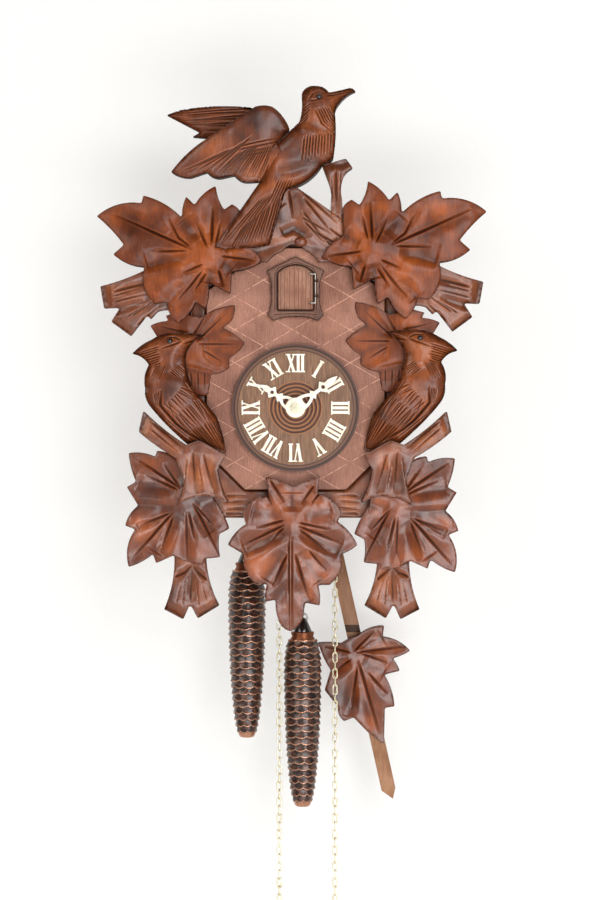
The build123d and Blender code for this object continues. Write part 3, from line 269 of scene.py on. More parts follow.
def scored_panel(name):
    finish = Finish(name, Coat_Roughness=0.3)
    along = finish.stretched((1.0, 1.0, 0.06))
    clouds = finish.noise(finish.place, 0.03, 2.0)
    streak = finish.noise(along, 3.2, 4.0, 0.7)
    pores = finish.noise(along, 6.5, 2.0, 0.5).fade(0.54, 0.66)
    tone = 0.5 * clouds + 0.5 * streak
    stops = [(0.38, tint(122, 74, 56)), (0.50, tint(152, 100, 79)), (0.62, tint(180, 124, 100))]
    colour = finish.ramp(tone, stops)
    colour = finish.mix(0.45 * pores, colour, tint(94, 54, 40))
    across = (finish.axis("X") - LATTICE_CROSSING[0]) / LATTICE_WIDE
    up = (finish.axis("Z") - LATTICE_CROSSING[1]) / LATTICE_HIGH
    scores = None
    for slanted in (across + up, across - up):
        fold = slanted.sum("PINGPONG", slanted, 0.5)
        line = fold.fade(1.9 * SCORE / LATTICE_HIGH, 0.7 * SCORE / LATTICE_HIGH)
        scores = line if scores is None else scores.sum("MAXIMUM", scores, line)
    broken = finish.noise(finish.place, 0.35, 2.0).fade(0.30, 0.60)
    facing = finish.node("SeparateXYZ", {}, {"Vector": finish.node("NewGeometry", {}, {}, "Normal")}, "Y")
    front = facing.fade(-0.7, -0.9)
    scores = scores * broken * front
    colour = finish.mix(0.75 * scores, colour, tint(222, 166, 140))
    # Faces turned away from the front are darkened: partly stain on the cut edge, partly painted shade.
    colour = finish.mix((1 - front) * 0.7, colour, tint(58, 31, 21))
    finish.bump(0.5 * streak - 0.6 * pores - 1.2 * scores, 0.5, 0.18 * MM)
    return finish.shade(Base_Color=colour, Roughness=0.50 + 0.2 * streak, Coat_Weight=0.08)


panel_wood = scored_panel("panel_wood")

# %% [markdown]
# The dial is a turned disc. Its rim was stained nearly black-brown, its field is a plain walnut colour with an
# upright grain, and the rings in the middle were darkened while it spun in the lathe. The nearly black rings at
# the outer edge of the rim are partly stain and partly painted shade. Distance from the centre decides which
# colour is seen.

# %% Dial
FIRST_RING = 8.0
RING_PITCH = 2.6
RINGS_END = (18.4, 16.6)
RIM_STARTS = (36.9, 37.3)
BLACK_STARTS = (39.2, 39.5)


def turned_dial(name):
    finish = Finish(name, Coat_Roughness=0.15)
    across = finish.axis("X")
    up = finish.axis("Z") - DIAL / MM
    radius = (across * across + up * up) ** 0.5
    along = finish.stretched((1.0, 1.0, 0.06))
    streak = finish.noise(along, 1.6, 4.0, 0.65)
    pores = finish.noise(along, 4.0, 2.0).fade(0.60, 0.70)
    walnut = [(0.36, tint(98, 64, 40)), (0.50, tint(122, 83, 54)), (0.66, tint(148, 106, 72))]
    field = finish.ramp(streak, walnut)
    field = finish.mix(0.3 * pores, field, tint(78, 46, 27))
    wander = radius + 0.5 * (finish.noise(finish.place, 0.22, 1.0) - 0.5)
    from_groove = radius.sum("PINGPONG", (wander - FIRST_RING) / RING_PITCH, 0.5) * 2
    burnt = [(0.08, tint(46, 21, 10)), (0.40, tint(112, 57, 29)), (0.95, tint(168, 114, 66))]
    rings = finish.mix(0.3 * streak, finish.ramp(from_groove, burnt), tint(84, 42, 20))
    colour = finish.mix(radius.fade(*RINGS_END), field, rings)
    colour = finish.mix(radius.fade(*RIM_STARTS), colour, tint(66, 32, 14))
    colour = finish.mix(radius.fade(37.6, 38.3) * radius.fade(39.3, 38.9), colour, tint(108, 64, 34))
    # Partly stain, partly painted shade: the outer edge of the rim goes nearly black.
    colour = finish.mix(radius.fade(*BLACK_STARTS), colour, tint(44, 20, 9))
    colour = finish.mix(radius.fade(40.0, 40.4) * radius.fade(41.1, 40.9), colour, tint(86, 44, 20))
    turning = finish.node("TexNoise", {"noise_dimensions": "1D"}, {"W": radius, "Scale": 3.0, "Detail": 1.0})
    finish.bump(streak + 0.8 * turning, 0.25, 0.1 * MM)
    return finish.shade(Base_Color=colour, Roughness=0.36 + 0.16 * streak, Coat_Weight=0.25)


dial_wood = turned_dial("dial_wood")

# %% [markdown]
# Numerals and hands are moulded in ivory plastic, glossy and slightly creamy, with a little dust dulling them.

# %% Ivory
def ivory_plastic(name):
    finish = Finish(name, Coat_Roughness=0.1)
    clouds = finish.noise(finish.place, 0.25, 3.0)
    specks = finish.noise(finish.place, 3.0, 2.0)
    colour = finish.ramp(clouds, [(0.35, tint(236, 226, 200)), (0.65, tint(252, 247, 232))])
    finish.bump(specks, 0.08, 0.05 * MM)
    return finish.shade(Base_Color=colour, Roughness=0.24 + 0.2 * specks, Coat_Weight=0.3)


ivory = ivory_plastic("ivory")

# %% [markdown]
# Metal shows its making. Plates are brushed, wheels are turned, wire is drawn and the chain is bright plated.
# Each has a colour that drifts from clean to tarnished and a roughness that follows its tool marks.

# %% Metals
def metal(name, clean, tarnished, rough=0.28, brush=(1, 1, 1), marks=0.5, shown=1.0):
    finish = Finish(name)
    stain = finish.noise(finish.place, 0.12, 4.0, 0.6)
    fine = finish.noise(finish.stretched(brush), 3.0, 3.0, 0.6)
    colour = finish.ramp(stain * 0.7 + fine * 0.3, [(0.34, tarnished), (0.62, clean)])
    finish.bump(fine, 0.12 * marks, 0.05 * MM)
    return finish.shade(Base_Color=colour, Metallic=shown, Roughness=rough + 0.25 * marks * fine + 0.12 * stain)


plate_brass = metal("plate_brass", tint(214, 176, 98), tint(150, 110, 52), 0.26, (0.08, 1, 1))
wheel_brass = metal("wheel_brass", tint(218, 182, 104), tint(160, 120, 58), 0.22)
chain_brass = metal("chain_brass", tint(238, 232, 208), tint(190, 174, 128), 0.20, marks=0.3)
steel = metal("steel", tint(186, 188, 192), tint(120, 118, 116), 0.25, (1, 0.08, 1))
blued_steel = metal("blued_steel", tint(92, 94, 104), tint(52, 48, 50), 0.3)
hinge_steel = metal("hinge_steel", tint(206, 200, 190), tint(128, 118, 108), 0.22, (1, 1, 0.1))
print("finishes so far:", len(bpy.data.materials))

# %% [markdown]
# Bellows are folded from thin hide or paper, matt and creamy. The hidden cuckoo is painted.

# %% Bellows paper and painted bird
def bellows_paper(name):
    finish = Finish(name)
    fibre = finish.noise(finish.stretched((1, 0.3, 1)), 2.2, 4.0, 0.6)
    stain = finish.noise(finish.place, 0.15, 3.0)
    colour = finish.ramp(0.5 * fibre + 0.5 * stain, [(0.3, tint(186, 168, 132)), (0.6, tint(226, 214, 184))])
    finish.bump(fibre, 0.3, 0.1 * MM)
    return finish.shade(Base_Color=colour, Roughness=0.8 + 0.1 * fibre)


def painted_bird(name):
    finish = Finish(name, Coat_Roughness=0.15)
    height = finish.axis("Z") - DIAL / MM
    strokes = finish.noise(finish.stretched((1, 0.2, 1)), 1.2, 3.0)
    body = finish.ramp(strokes, [(0.35, tint(120, 84, 52)), (0.65, tint(176, 138, 92))])
    breast = finish.ramp(strokes, [(0.35, tint(226, 208, 170)), (0.65, tint(246, 236, 210))])
    colour = finish.mix((height + strokes).fade(76.8, 75.6), body, breast)
    finish.bump(strokes, 0.2, 0.1 * MM)
    return finish.shade(Base_Color=colour, Roughness=0.35 + 0.15 * strokes, Coat_Weight=0.3)


paper = bellows_paper("bellows_paper")
cuckoo_paint = painted_bird("cuckoo_paint")

# %% [markdown]
# The solids keep their shape where it is already right, and only take a finish.

# %% Dress the solids
def paint(mesh, finish):
    mesh.materials.clear()
    mesh.materials.append(finish)


def dress(finish, *names):
    for name in names:
        paint(nodes[name].data, finish)


dress(case_wood, "case_front", "case_left_side", "case_right_side", "back_board", "rear_cover", "turn_button")
dress(roof_wood, "roof_boards", "case_floor")
dress(panel_wood, "front_panel")
dress(dial_wood, "dial")
dress(ivory, "numerals", "hour_hand", "minute_hand")
dress(plate_brass, "front_plate", "rear_plate")
dress(wheel_brass, "hour_wheel", "motion_wheel", "centre_wheel", "third_wheel", "escape_wheel")
dress(wheel_brass, "going_great_wheel", "strike_great_wheel", "strike_wheel")
dress(steel, "pillars", "verge", "hammer", "cuckoo_arm")
dress(blued_steel, "gong")
dress(hinge_steel, "door_hinge_wire")
dress(chain_brass, "minute_arbor", "chain_wraps", "left_weight_chain", "right_weight_chain")
dress(chain_brass, "left_free_chain", "right_free_chain")
dress(pale_wood, "whistles", "left_bellows_lid", "right_bellows_lid")
dress(paper, "left_bellows_folds", "right_bellows_folds")
dress(cuckoo_paint, "cuckoo_bird")
dress(rod_wood, "pendulum_rod")
dress(branch_wood, "carved_frame")
print("solids dressed:", sum(1 for node in nodes.values() if node.data.materials))

# %% [markdown]
# Every new piece starts as a mesh. A few small tools copy a solid, put a mesh in the scene, bake a modifier in
# and write numbers on the vertices.

# %% Mesh tools
def copy_of(mesh, join_within=None):
    shape = bmesh.new()
    shape.from_mesh(mesh)
    if join_within:
        bmesh.ops.remove_doubles(shape, verts=shape.verts, dist=join_within)
    return shape


def mesh_from(name, shape):
    mesh = bpy.data.meshes.new(name)
    shape.to_mesh(mesh)
    shape.free()
    return mesh


def put_in_scene(name, data):
    thing = bpy.data.objects.new(name, data)
    bpy.context.scene.collection.objects.link(thing)
    return thing


def apply_modifier(piece):
    view = bpy.context.evaluated_depsgraph_get()
    piece.data = bpy.data.meshes.new_from_object(piece.evaluated_get(view))
    piece.modifiers.clear()


def write_mark(mesh, name, values):
    mesh.attributes.new(name, "FLOAT", "POINT").data.foreach_set("value", values)


def points_of(mesh, source="vertices", key="co"):
    values = np.empty(len(mesh.vertices) * 3)
    getattr(mesh, source).foreach_get(key, values)
    return values.reshape(-1, 3)

# %% [markdown]
# Strokes are drawn in millimetres about the middle of a piece, and a right piece mirrors its left one.
# A vein is a sharp cut in a broad valley, a crease is a valley alone, a nick is a cut alone, and a comb is a row
# of nicks.

# %% Strokes
def vein(*paths, deep=1.4, wide=1.0, valley=1.6, reach=4.5, lean=0.0):
    """Sharp cuts, each in the middle of a broad valley. Lean widens the slope to the left of its run."""
    return [dict(path=path, deep=deep, wide=wide, valley=valley, reach=reach, lean=lean) for path in paths]


# Stain scales how dark the hollow is painted: partly stain, partly painted shade.
def crease(*paths, valley=2.0, reach=5.0, lean=0.0, stain=1.0):
    """Valleys with no cut in them, such as between two lobes."""
    valleys = vein(*paths, deep=0.0, valley=valley, reach=reach, lean=lean)
    return [dict(stroke, stain=stain) for stroke in valleys]


def nick(*paths, deep=1.0, wide=0.8, even=False):
    """Cuts with no valley, such as one line of a feather. An even one doesn't taper."""
    return [dict(stroke, even=even) for stroke in vein(*paths, deep=deep, wide=wide, valley=0.0)]


def comb(count, *lines, deep=1.0, wide=0.65, uneven=0.12):
    """Nicks side by side. Each passes in turn from the first line to the last one."""
    strokes = []
    for number in range(count):
        share = number / (count - 1)
        path = []
        for step, (first, last) in enumerate(lines):
            wobble = uneven * noise.noise((3.7 * number, 1.3 * step, first[0]))
            x = first[0] + share * (last[0] - first[0])
            z = first[1] + share * (last[1] - first[1])
            path.append((x + wobble * (last[1] - first[1]), z + wobble * (last[0] - first[0])))
        press = 1 + 2 * uneven * noise.noise((number, 7.1, path[0][0]))
        strokes += nick(path, deep=deep * press, wide=wide)
    return strokes


def laid_out(strokes, x, z, mirrored=False):
    """Strokes drawn about the middle of a piece, placed from the centre of the dial."""
    side = -1 if mirrored else 1
    placed = []
    for stroke in strokes:
        path = [(x + side * a, z + b) for a, b in stroke["path"]]
        placed.append(dict(stroke, path=path, lean=side * stroke["lean"]))
    return placed


def on_both_sides(strokes, axis, out, left_up, right_up):
    return laid_out(strokes, axis - out, left_up) + laid_out(strokes, axis + out, right_up, True)

# %% [markdown]
# A carver saws out the outline, rounds the edges over, hollows each leaf towards its veins, and then cuts the
# veins and feathers with a V tool. The same is done here. First comes the depth of all strokes at a place.

# %% Depth of the strokes
FULL_STAIN_AND_SHADE = 2.4


def along_stroke(flat, path):
    """Distance from a stroke, how far along it the nearest place is, 0 to 1, and the side it is on, -1 to 1."""
    path = np.array(path, float)
    lengths = np.linalg.norm(np.diff(path, axis=0), axis=1)
    best = np.full(len(flat), 1e9)
    share = np.zeros(len(flat))
    side = np.zeros(len(flat))
    run = 0.0
    for start, end, length in zip(path, path[1:], lengths):
        run_x, run_z = end - start
        step = np.clip(((flat - start) @ (end - start)) / length ** 2, 0, 1)
        offset = flat - start - step[:, None] * (end - start)
        away = np.linalg.norm(offset, axis=1)
        nearer = away < best
        best[nearer] = away[nearer]
        share[nearer] = ((run + step * length) / lengths.sum())[nearer]
        across = (run_x * offset[:, 1] - run_z * offset[:, 0]) / length
        side[nearer] = (across / np.maximum(away, 1e-6))[nearer]
        run += length
    return best, share, side


def cuts_at(flat, strokes):
    """Depth at each place, and how far it is in a cut, beside one or in a valley."""
    push, fold, dip, cut, rim, hollow = (np.zeros(len(flat)) for _ in range(6))
    for stroke in strokes:
        away, share, side = along_stroke(flat, stroke["path"])
        taper = np.clip(share / 0.12, 0.25, 1) ** 0.5 * np.clip((1.02 - share) / 0.6, 0, 1) ** 0.5
        if stroke.get("even"):
            taper = np.ones(len(flat))
        if stroke["deep"]:
            width = stroke["wide"] * (0.45 + 0.55 * taper)
            groove = np.clip(1 - away / width, 0, 1) * taper
            push = np.maximum(push, groove * stroke["deep"])
            cut = np.maximum(cut, groove)
            rim = np.maximum(rim, np.exp(-((away / width - 1.25) / 0.4) ** 2) * taper)
        if stroke["valley"]:
            start = np.clip(share / 0.3, 0.1, 1) if stroke["deep"] else np.clip(share / 0.1, 0.4, 1)
            length = start * np.clip((1.04 - share) / 0.3, 0, 1) ** 0.5
            reach = stroke["reach"] * (1 + stroke["lean"] * side)
            fall = length * np.exp(-(away / reach) ** 2)
            if stroke["deep"]:
                fold = np.maximum(fold, stroke["valley"] * fall)
            else:
                dip = np.maximum(dip, stroke["valley"] * fall)
            # Hollows are darkened with their depth, partly as stain and partly as painted shade.
            stain = stroke.get("stain", 1.0) * stroke["valley"] / FULL_STAIN_AND_SHADE
            hollow = np.maximum(hollow, stain * length * np.exp(-(away / (0.45 * reach)) ** 2))
    return push + fold + dip, cut, rim, hollow

# %% [markdown]
# Then the solid is copied and meshed evenly, and its front is pushed back near the outline, along the valleys
# and along the cuts. Walls follow the front, so the piece stays closed.

# %% Carving
FACET_SIZE, FACET_DEPTH = 5.5, 0.16
WAVE_SIZE = 19
EDGE_STAIN_AND_SHADE = 6.0


def even_mesh(name, source, voxel):
    """A closed, even copy of a solid."""
    mesh = mesh_from(name, copy_of(nodes[source].data, 1e-6))
    blank = put_in_scene(name, mesh)
    remesh = blank.modifiers.new("even", "REMESH")
    remesh.mode = "VOXEL"
    remesh.voxel_size = voxel * MM
    remesh.use_smooth_shade = True
    apply_modifier(blank)
    bpy.data.meshes.remove(mesh)
    blank.data.name = name
    return blank


def soften(piece, rounds):
    shape = copy_of(piece.data)
    for _ in range(rounds):
        bmesh.ops.smooth_vert(
            shape, verts=shape.verts, factor=0.5, use_axis_x=True, use_axis_y=True, use_axis_z=True)
    shape.to_mesh(piece.data)
    shape.free()


def faces_front(mesh):
    """How squarely each vertex faces the viewer, 0 to 1, and whether it is on an upright wall."""
    normals = points_of(mesh, "vertex_normals", "vector")
    return np.clip((-normals[:, 1] - 0.2) / 0.4, 0, 1), np.abs(normals[:, 1]) < 0.5


def on_front(spots):
    """Places across and up from the centre of the dial, in millimetres."""
    return spots[:, [0, 2]] / MM - np.array([0, DIAL / MM])


def tree_of(spots):
    tree = kdtree.KDTree(len(spots))
    for number, spot in enumerate(spots):
        tree.insert(spot, number)
    tree.balance()
    return tree


def refine(piece, strokes):
    """Halves the mesh along the cuts, so that they come out sharp."""
    front, _ = faces_front(piece.data)
    cut = cuts_at(on_front(points_of(piece.data)), strokes)[1] * front > 0.0
    shape = copy_of(piece.data)
    edges = [edge for edge in shape.edges if cut[edge.verts[0].index] and cut[edge.verts[1].index]]
    bmesh.ops.subdivide_edges(shape, edges=edges, cuts=1, use_grid_fill=True)
    shape.to_mesh(piece.data)
    shape.free()


def carve(
        node, finish, strokes, voxel=0.58, rounding=1.8, roundness=0.7, thin=2.0,
        body="case", curl=1.3, joined=None):
    """Replaces a solid by a carved copy. Cuts stop short of the back by thin. Joined edges take no dark edge
    stain or painted shade.
    """
    piece = even_mesh(node + "_carved", node, voxel)
    soften(piece, 3)
    refine(piece, strokes)
    mesh = piece.data
    spots = points_of(mesh)
    front, upright = faces_front(mesh)
    chosen = np.flatnonzero(front > 0)
    walls = np.flatnonzero((front == 0) & upright)
    depth, cut, rim, hollow = cuts_at(on_front(spots[chosen]), strokes)
    wall_tree = tree_of(spots[walls])
    edge = np.array([wall_tree.find(spot)[2] for spot in spots[chosen]]) / MM
    over = np.clip(rounding - edge, 0, rounding)
    drop = roundness * (rounding - np.sqrt(rounding ** 2 - over ** 2))
    facets = np.array([noise.noise(Vector(spot) / (FACET_SIZE * MM)) for spot in spots[chosen]])
    waves = np.array([noise.noise(Vector(spot) / (WAVE_SIZE * MM)) for spot in spots[chosen]])
    back = spots[:, 1].max() - thin * MM
    sunk = depth + drop + FACET_DEPTH * facets + curl * (0.5 + waves)
    moved = spots[chosen, 1] + front[chosen] * sunk * MM
    spots[chosen, 1] = np.minimum(moved, np.maximum(spots[chosen, 1], back))
    face_tree = tree_of([(spot[0], 0, spot[2]) for spot in spots[chosen]])
    for number in walls:
        near = face_tree.find_n((spots[number, 0], 0, spots[number, 2]), 6)
        spots[number, 1] = max(spots[number, 1], min(spots[chosen[found[1]], 1] for found in near))
    mesh.vertices.foreach_set("co", spots.ravel())
    # The marks drive dark stain and painted shade in cuts, hollows, near outlines and on walls, and the rubbed,
    # painted-highlight rims.
    marks = {"cut": cut, "rim": rim, "hollow": hollow, "edge": np.clip(1 - edge / EDGE_STAIN_AND_SHADE, 0, 1)}
    for name, values in marks.items():
        whole = np.zeros(len(spots))
        whole[chosen] = values if name == "edge" else values * front[chosen]
        whole[walls] = 1.0 if name == "edge" else 0.0
        if joined and name == "edge":
            away = np.linalg.norm(on_front(spots) - np.array(joined[:2]), axis=1)
            whole *= np.clip((away - 0.7 * joined[2]) / (0.3 * joined[2]), 0, 1)
        write_mark(mesh, name, whole)
    mesh.update()
    mesh.shade_smooth()
    paint(mesh, finish)
    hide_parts(node)
    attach(piece, body)
    print(node, "carved:", len(mesh.polygons), "faces,", len(strokes), "strokes")
    return piece

# %% [markdown]
# Five-lobed leaves lie at the corners. Every lobe has a vein from the heart of the leaf to its tip, and a
# valley runs in from each notch between two lobes. The right leaf of a pair is set a little higher or lower.

# %% Upper leaves
LEAF_AXIS = -2.4
BIRD_AXIS = -0.3
upper_strokes = [
    *vein([(-10.5, 3.5), (-32, 13), (-62, 27)], deep=1.8, wide=1.1, valley=2.4, reach=7.0),
    *vein([(-11, 4.5), (-19, 11), (-25.5, 24)], [(5.3, 7), (8.5, 22)]),
    *vein([(-14, 2.4), (-36, 2)], deep=1.1, valley=1.2),
    *vein([(-0.5, 5), (-7.5, 20)], valley=2.2, reach=5.0),
    *vein([(2.3, 6.5), (3.5, 31)], deep=1.8, wide=1.2, valley=2.8, reach=5.5, lean=0.3),
    *vein([(-3.5, -6.5), (-16.5, -12)], deep=1.2),
    *vein([(-3.5, -10.5), (-12, -21), (-20.5, -30)], deep=1.2, valley=2.2, reach=6.0),
    *vein([(-1, -12), (-9, -24)], deep=1.2, valley=2.0),
    *vein([(7, -10), (10, -21)], deep=1.6, wide=1.2, valley=3.0),
    *vein([(9, -1), (31, -3.8)], deep=1.5, valley=2.6, reach=5.0),
    *crease([(-17, 23), (-6, 10)], valley=3.2, reach=7.0, lean=-0.3),
    *crease([(20.5, 9.5), (10, 4)], [(15.5, -11), (9, -6)], [(0.5, -19), (2, -9)], valley=2.8),
    *crease([(-41, -8), (-28, -4.5), (-15, -2.5)], valley=3.2, reach=6.0, lean=0.4),
    *crease([(-27, -32), (-16, -18)], valley=1.8),
]
carve("upper_left_leaf", matt_leaf_wood, laid_out(upper_strokes, LEAF_AXIS - 54.3, 99.1))
carve("upper_right_leaf", matt_leaf_wood, laid_out(upper_strokes, LEAF_AXIS + 54.3, 102.1, True))

# %% [markdown]
# The lower pair is broader. Its lobes spread to the sides and hang over the bottom edge of the case.

# %% Lower leaves
lower_strokes = [
    *vein([(-2, 13), (-31, 32.5)], deep=1.8, wide=1.1, valley=2.0, reach=5.5),
    *vein([(-2.5, 13.5), (-12.6, 29)], [(-3.5, 12), (-24.5, 21)]),
    *vein([(-7, -3.5), (-33, -33)], deep=1.8, wide=1.1, valley=2.2, reach=5.5),
    *vein([(-6.5, -6), (-14.5, -27.5)], valley=2.0),
    *vein([(-8.5, -3.5), (-28, -11.3)], deep=1.2),
    *vein([(7.5, 2), (19, -11)], valley=1.8),
    *vein([(7, 2.5), (23.3, -30)], deep=1.7, valley=2.4, reach=5.5, lean=-0.3),
    *vein([(4, -3.5), (8, -22)], deep=1.3),
    *vein([(2, -3), (3, -38)], deep=0.8, wide=0.8, valley=2.0, reach=4.0),
    *crease([(-32, 17), (-5, 11)], valley=2.2),
    *crease([(-36, 2), (-20, 1), (-6, 1)], valley=3.0, reach=6.0, lean=-0.5),
    *crease([(-31, -13), (-9, -4)], valley=1.8, reach=4.0),
    *crease([(-20, -30), (-4, -5)], valley=2.4, reach=6.0),
    *crease([(21, 5), (8, 2)], [(19, -17), (9, -4)]),
]
carve("lower_left_leaf", leaf_wood, laid_out(lower_strokes, LEAF_AXIS - 70.5, -64.8))
carve("lower_right_leaf", leaf_wood, laid_out(lower_strokes, LEAF_AXIS + 70.5, -68.3, True))

# %% [markdown]
# The middle leaf under the dial hangs straight down. Two long cuts leave a raised rib between them.

# %% Middle leaf
centre_strokes = [
    *vein([(-1.9, -8), (-1.9, -69)], deep=1.5, wide=0.7, reach=5.0, lean=-0.7),
    *vein([(0.2, -8), (0.2, -69)], deep=1.5, wide=0.7, reach=5.0, lean=0.7),
    *vein([(-5, 2.5), (-23, -2.5)], [(4.7, 1), (25, -3.5)], valley=2.0),
    *vein([(-5, -0.5), (-32, -14)], [(5, -1.5), (33, -13)], deep=1.7, wide=1.1, valley=2.2, reach=5.5),
    *vein([(-5.5, -2.5), (-13, -10.5)], deep=1.2),
    *vein(
        [(5.5, -3.5), (24, -19)], [(11, -17), (22, -30)], [(-17, 22), (-13, 12)], [(18, 20), (12.5, 13)],
        deep=1.3),
    *vein(
        [(-3.2, -20), (-12.5, -40)], [(2.5, -20), (10.5, -48)], deep=1.7, wide=1.1, valley=2.0, reach=5.0),
    *vein([(-14, 28.5), (-4.5, 14)], [(14.5, 25), (6, 13)], valley=2.4, reach=5.5),
    *crease([(0, 21), (0, 8)], valley=2.6, reach=6.0),
    *crease([(-27, 9), (-8, 4)], [(27, 9), (8, 4)], valley=2.2, reach=6.0),
    *crease([(-32, -19), (-18, -13), (-5, -6)], valley=2.6, reach=6.0, lean=0.4),
    *crease([(31.5, -19.5), (18, -13), (5, -6)], valley=2.6, reach=6.0, lean=-0.4),
    *crease([(-17, -38), (-5, -18)], [(19, -38), (5, -18)], valley=2.2),
    *crease([(-10.5, -51), (-3, -40)], [(12, -52), (2, -40)], valley=1.6, reach=4.0),
]
carve("centre_leaf", leaf_wood, laid_out(centre_strokes, LEAF_AXIS, -75.2))

# %% [markdown]
# Small leaves grow out behind the two birds, and both are one node. They are kept in front of the panel.

# %% Leaves behind the birds
bird_leaf_strokes = [
    *vein([(-2, -2), (18, 17)], valley=2.0),
    *vein([(-5, 0), (5, 18)], [(-8, 3), (-28, 8)], deep=1.2, valley=1.4),
    *vein([(0, -4), (25, -4)], [(2, -8), (15, -16)], valley=1.8),
    *crease([(21, 8), (2, -1)], [(21, -13), (2, -5)], valley=1.6),
    *crease([(8, -25), (-10, -20)], reach=3.0),
    *nick([(-6, -22), (-5, -36)], [(-1.5, -22), (-1, -36)], deep=1.1, wide=0.9),
    *nick([(3, -22), (3, -36)]),
]
BIRD_LEAF_BACK = (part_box("bird_leaves")[1][1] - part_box("front_panel")[0][1]) / MM + 1.2
bird_leaf_cuts = on_both_sides(bird_leaf_strokes, BIRD_AXIS, 61.6, 45.4, 47.4)
carve("bird_leaves", matt_leaf_wood, bird_leaf_cuts, rounding=1.2, curl=0.4, thin=BIRD_LEAF_BACK)

# %% [markdown]
# Each bird looks inwards from its branch. Its head is smooth but for the crest, the wing lies along the body
# with long feathers, and everything is rounded much further over than a leaf is.

# %% Birds at the sides
LEFT_BIRD = (BIRD_AXIS - 79.7, 14.9)
RIGHT_BIRD = (BIRD_AXIS + 79.7, 16.9)
BROW = ((6.5, 28.2), (2.5, 30.6), (-2.5, 30.6), (-5.5, 27.6))
CHEEK = ((6.5, 28.2), (2, 26.0), (-2.5, 24.6), (-8.5, 22.6))
WING_BELOW = ((-6.5, -4), (-7.2, -13.5), (3.0, -25.3), (10.5, -31.2), (27.6, -41))
side_bird_strokes = [
    *vein(WING_BELOW, deep=1.6, valley=1.8, reach=3.0, lean=0.5),
    *vein([(11.5, 1.5), (21, -7.5), (30, -22), (36, -34)], deep=1.2, wide=0.9, reach=3.5),
    *nick([(8, 26.5), (21, 30.2)], deep=1.2, wide=0.7),
    *crease([(-10, 14), (-4, 8), (8, 5)], reach=4.0),
    *crease([(6, 20), (3, 10)], valley=1.6, reach=4.0),
    *nick(BROW),
    *nick(CHEEK, deep=1.2, wide=0.9),
    *comb(9, ((-8.5, 24.5), (-7, 12)), ((-25, 20), (-12, 10.5)), deep=1.1),
    *comb(6, ((-4, 13), (-9.5, 12)), ((-9, 1), (-14.5, 2)), deep=0.8, wide=0.6),
    *comb(6, ((3, 13), (-1, 9)), ((10, 8), (6, 3)), deep=0.8, wide=0.6),
    *comb(10, ((-4, -13), (8, 0)), ((2, -21), (17, -6)), deep=0.7, wide=0.6, uneven=0.25),
    *comb(13, ((2, -20), (19, -7)), ((13, -32), (28, -20)), deep=0.9, uneven=0.25),
    *comb(12, ((13, -29), (29, -22)), ((27, -43), (38, -43)), deep=1.1, wide=0.7, uneven=0.2),
    *comb(4, ((-11.5, -5), (-8.5, -4)), ((-9.5, -15), (-7.5, -15)), deep=0.7, wide=0.6),
    *comb(3, ((-4, -22), (2, -27)), ((14, -37), (20, -41)), deep=0.7, wide=0.6),
]
plump = {"voxel": 0.5, "rounding": 9, "roundness": 0.75}
left_bird = carve("left_bird", bird_wood, laid_out(side_bird_strokes, *LEFT_BIRD), **plump)
right_bird = carve("right_bird", bird_wood, laid_out(side_bird_strokes, *RIGHT_BIRD, True), **plump)

# %% [markdown]
# Twigs and branches hold the leaves together. Their sawn ends are cut in with a collar, and long gouge marks
# follow the wood. All seven are one node.

# %% Branches and twigs
upper_twig_strokes = [
    *crease([(-30.5, 3), (-28, -12)], [(-25.5, -20.5), (-12.5, -30)], valley=2.2, reach=3.5),
    *vein([(-24, -1), (5, 6)], deep=1.2, reach=3.0),
    *nick([(-24, -8), (0, -2)], [(-12, -17), (4, -6)], [(-8, -23), (6, -10)]),
    *nick([(-24, -4), (-8, 1)], [(-16, -18), (0, -8)], deep=0.8, wide=0.7),
    *crease([(-24, -14), (-4, -8)], valley=2.4, reach=3.0),
]
lower_twig_strokes = [
    *crease([(-18.5, -14), (-4.5, -22.5)], [(5, -22), (20, -12)], valley=2.4, reach=4.0),
    *vein([(-10, 5), (-3, 8), (1.5, 13)], [(11, 3), (5, 8), (1.5, 13)], deep=1.3, reach=2.5),
    *nick(
        [(-9, -12), (-5, 4)], [(-5, -14), (-2, 7)], [(6, -14), (3.5, 6)], [(11, -11), (7, 4)], deep=0.5,
        wide=0.5),
    *vein([(0.5, -11), (1, 12)], deep=0.9, wide=0.7, valley=1.8, reach=3.5),
]
side_branch_strokes = [
    *crease([(-27.5, 21), (-32, 8)], reach=3.5),
    *vein([(-25, 15), (-4, -2)], deep=1.3, reach=3.0),
    *nick([(-26, 11), (-8, -4)]),
    *nick([(-22, 15), (-6, 3)], deep=0.9, wide=0.7),
    *vein([(2, -4), (3, -18), (4, -31)], deep=1.0, wide=0.75, valley=2.0, reach=4.0),
    *vein([(9, -6), (12.5, -20), (16, -32)], deep=0.9, wide=0.7, reach=3.5),
    *nick([(-1, -8), (-2.5, -20), (-5, -30)], [(6, -14), (9, -30)], deep=0.6, wide=0.5),
]
crest_branch_strokes = [
    *vein([(0, 10), (0, -18)], deep=1.0, wide=0.8, reach=2.5),
    *nick([(-3, 5), (-1.5, -20)], [(3, 8), (2, -16)], deep=0.8, wide=0.6),
    *crease([(-5, 12.5), (9, 14.5)], reach=3.0),
]
branch_cuts = laid_out(crest_branch_strokes, 26.2, 144.5)
branch_cuts += on_both_sides(upper_twig_strokes, LEAF_AXIS, 91.9, 76.5, 79.5)
branch_cuts += on_both_sides(lower_twig_strokes, LEAF_AXIS, 66.0, -114.7, -114.7)
branch_cuts += on_both_sides(side_branch_strokes, BIRD_AXIS, 68.1, -24.0, -24.0)
carve("branches", branch_wood, branch_cuts, voxel=0.68, rounding=2.5)
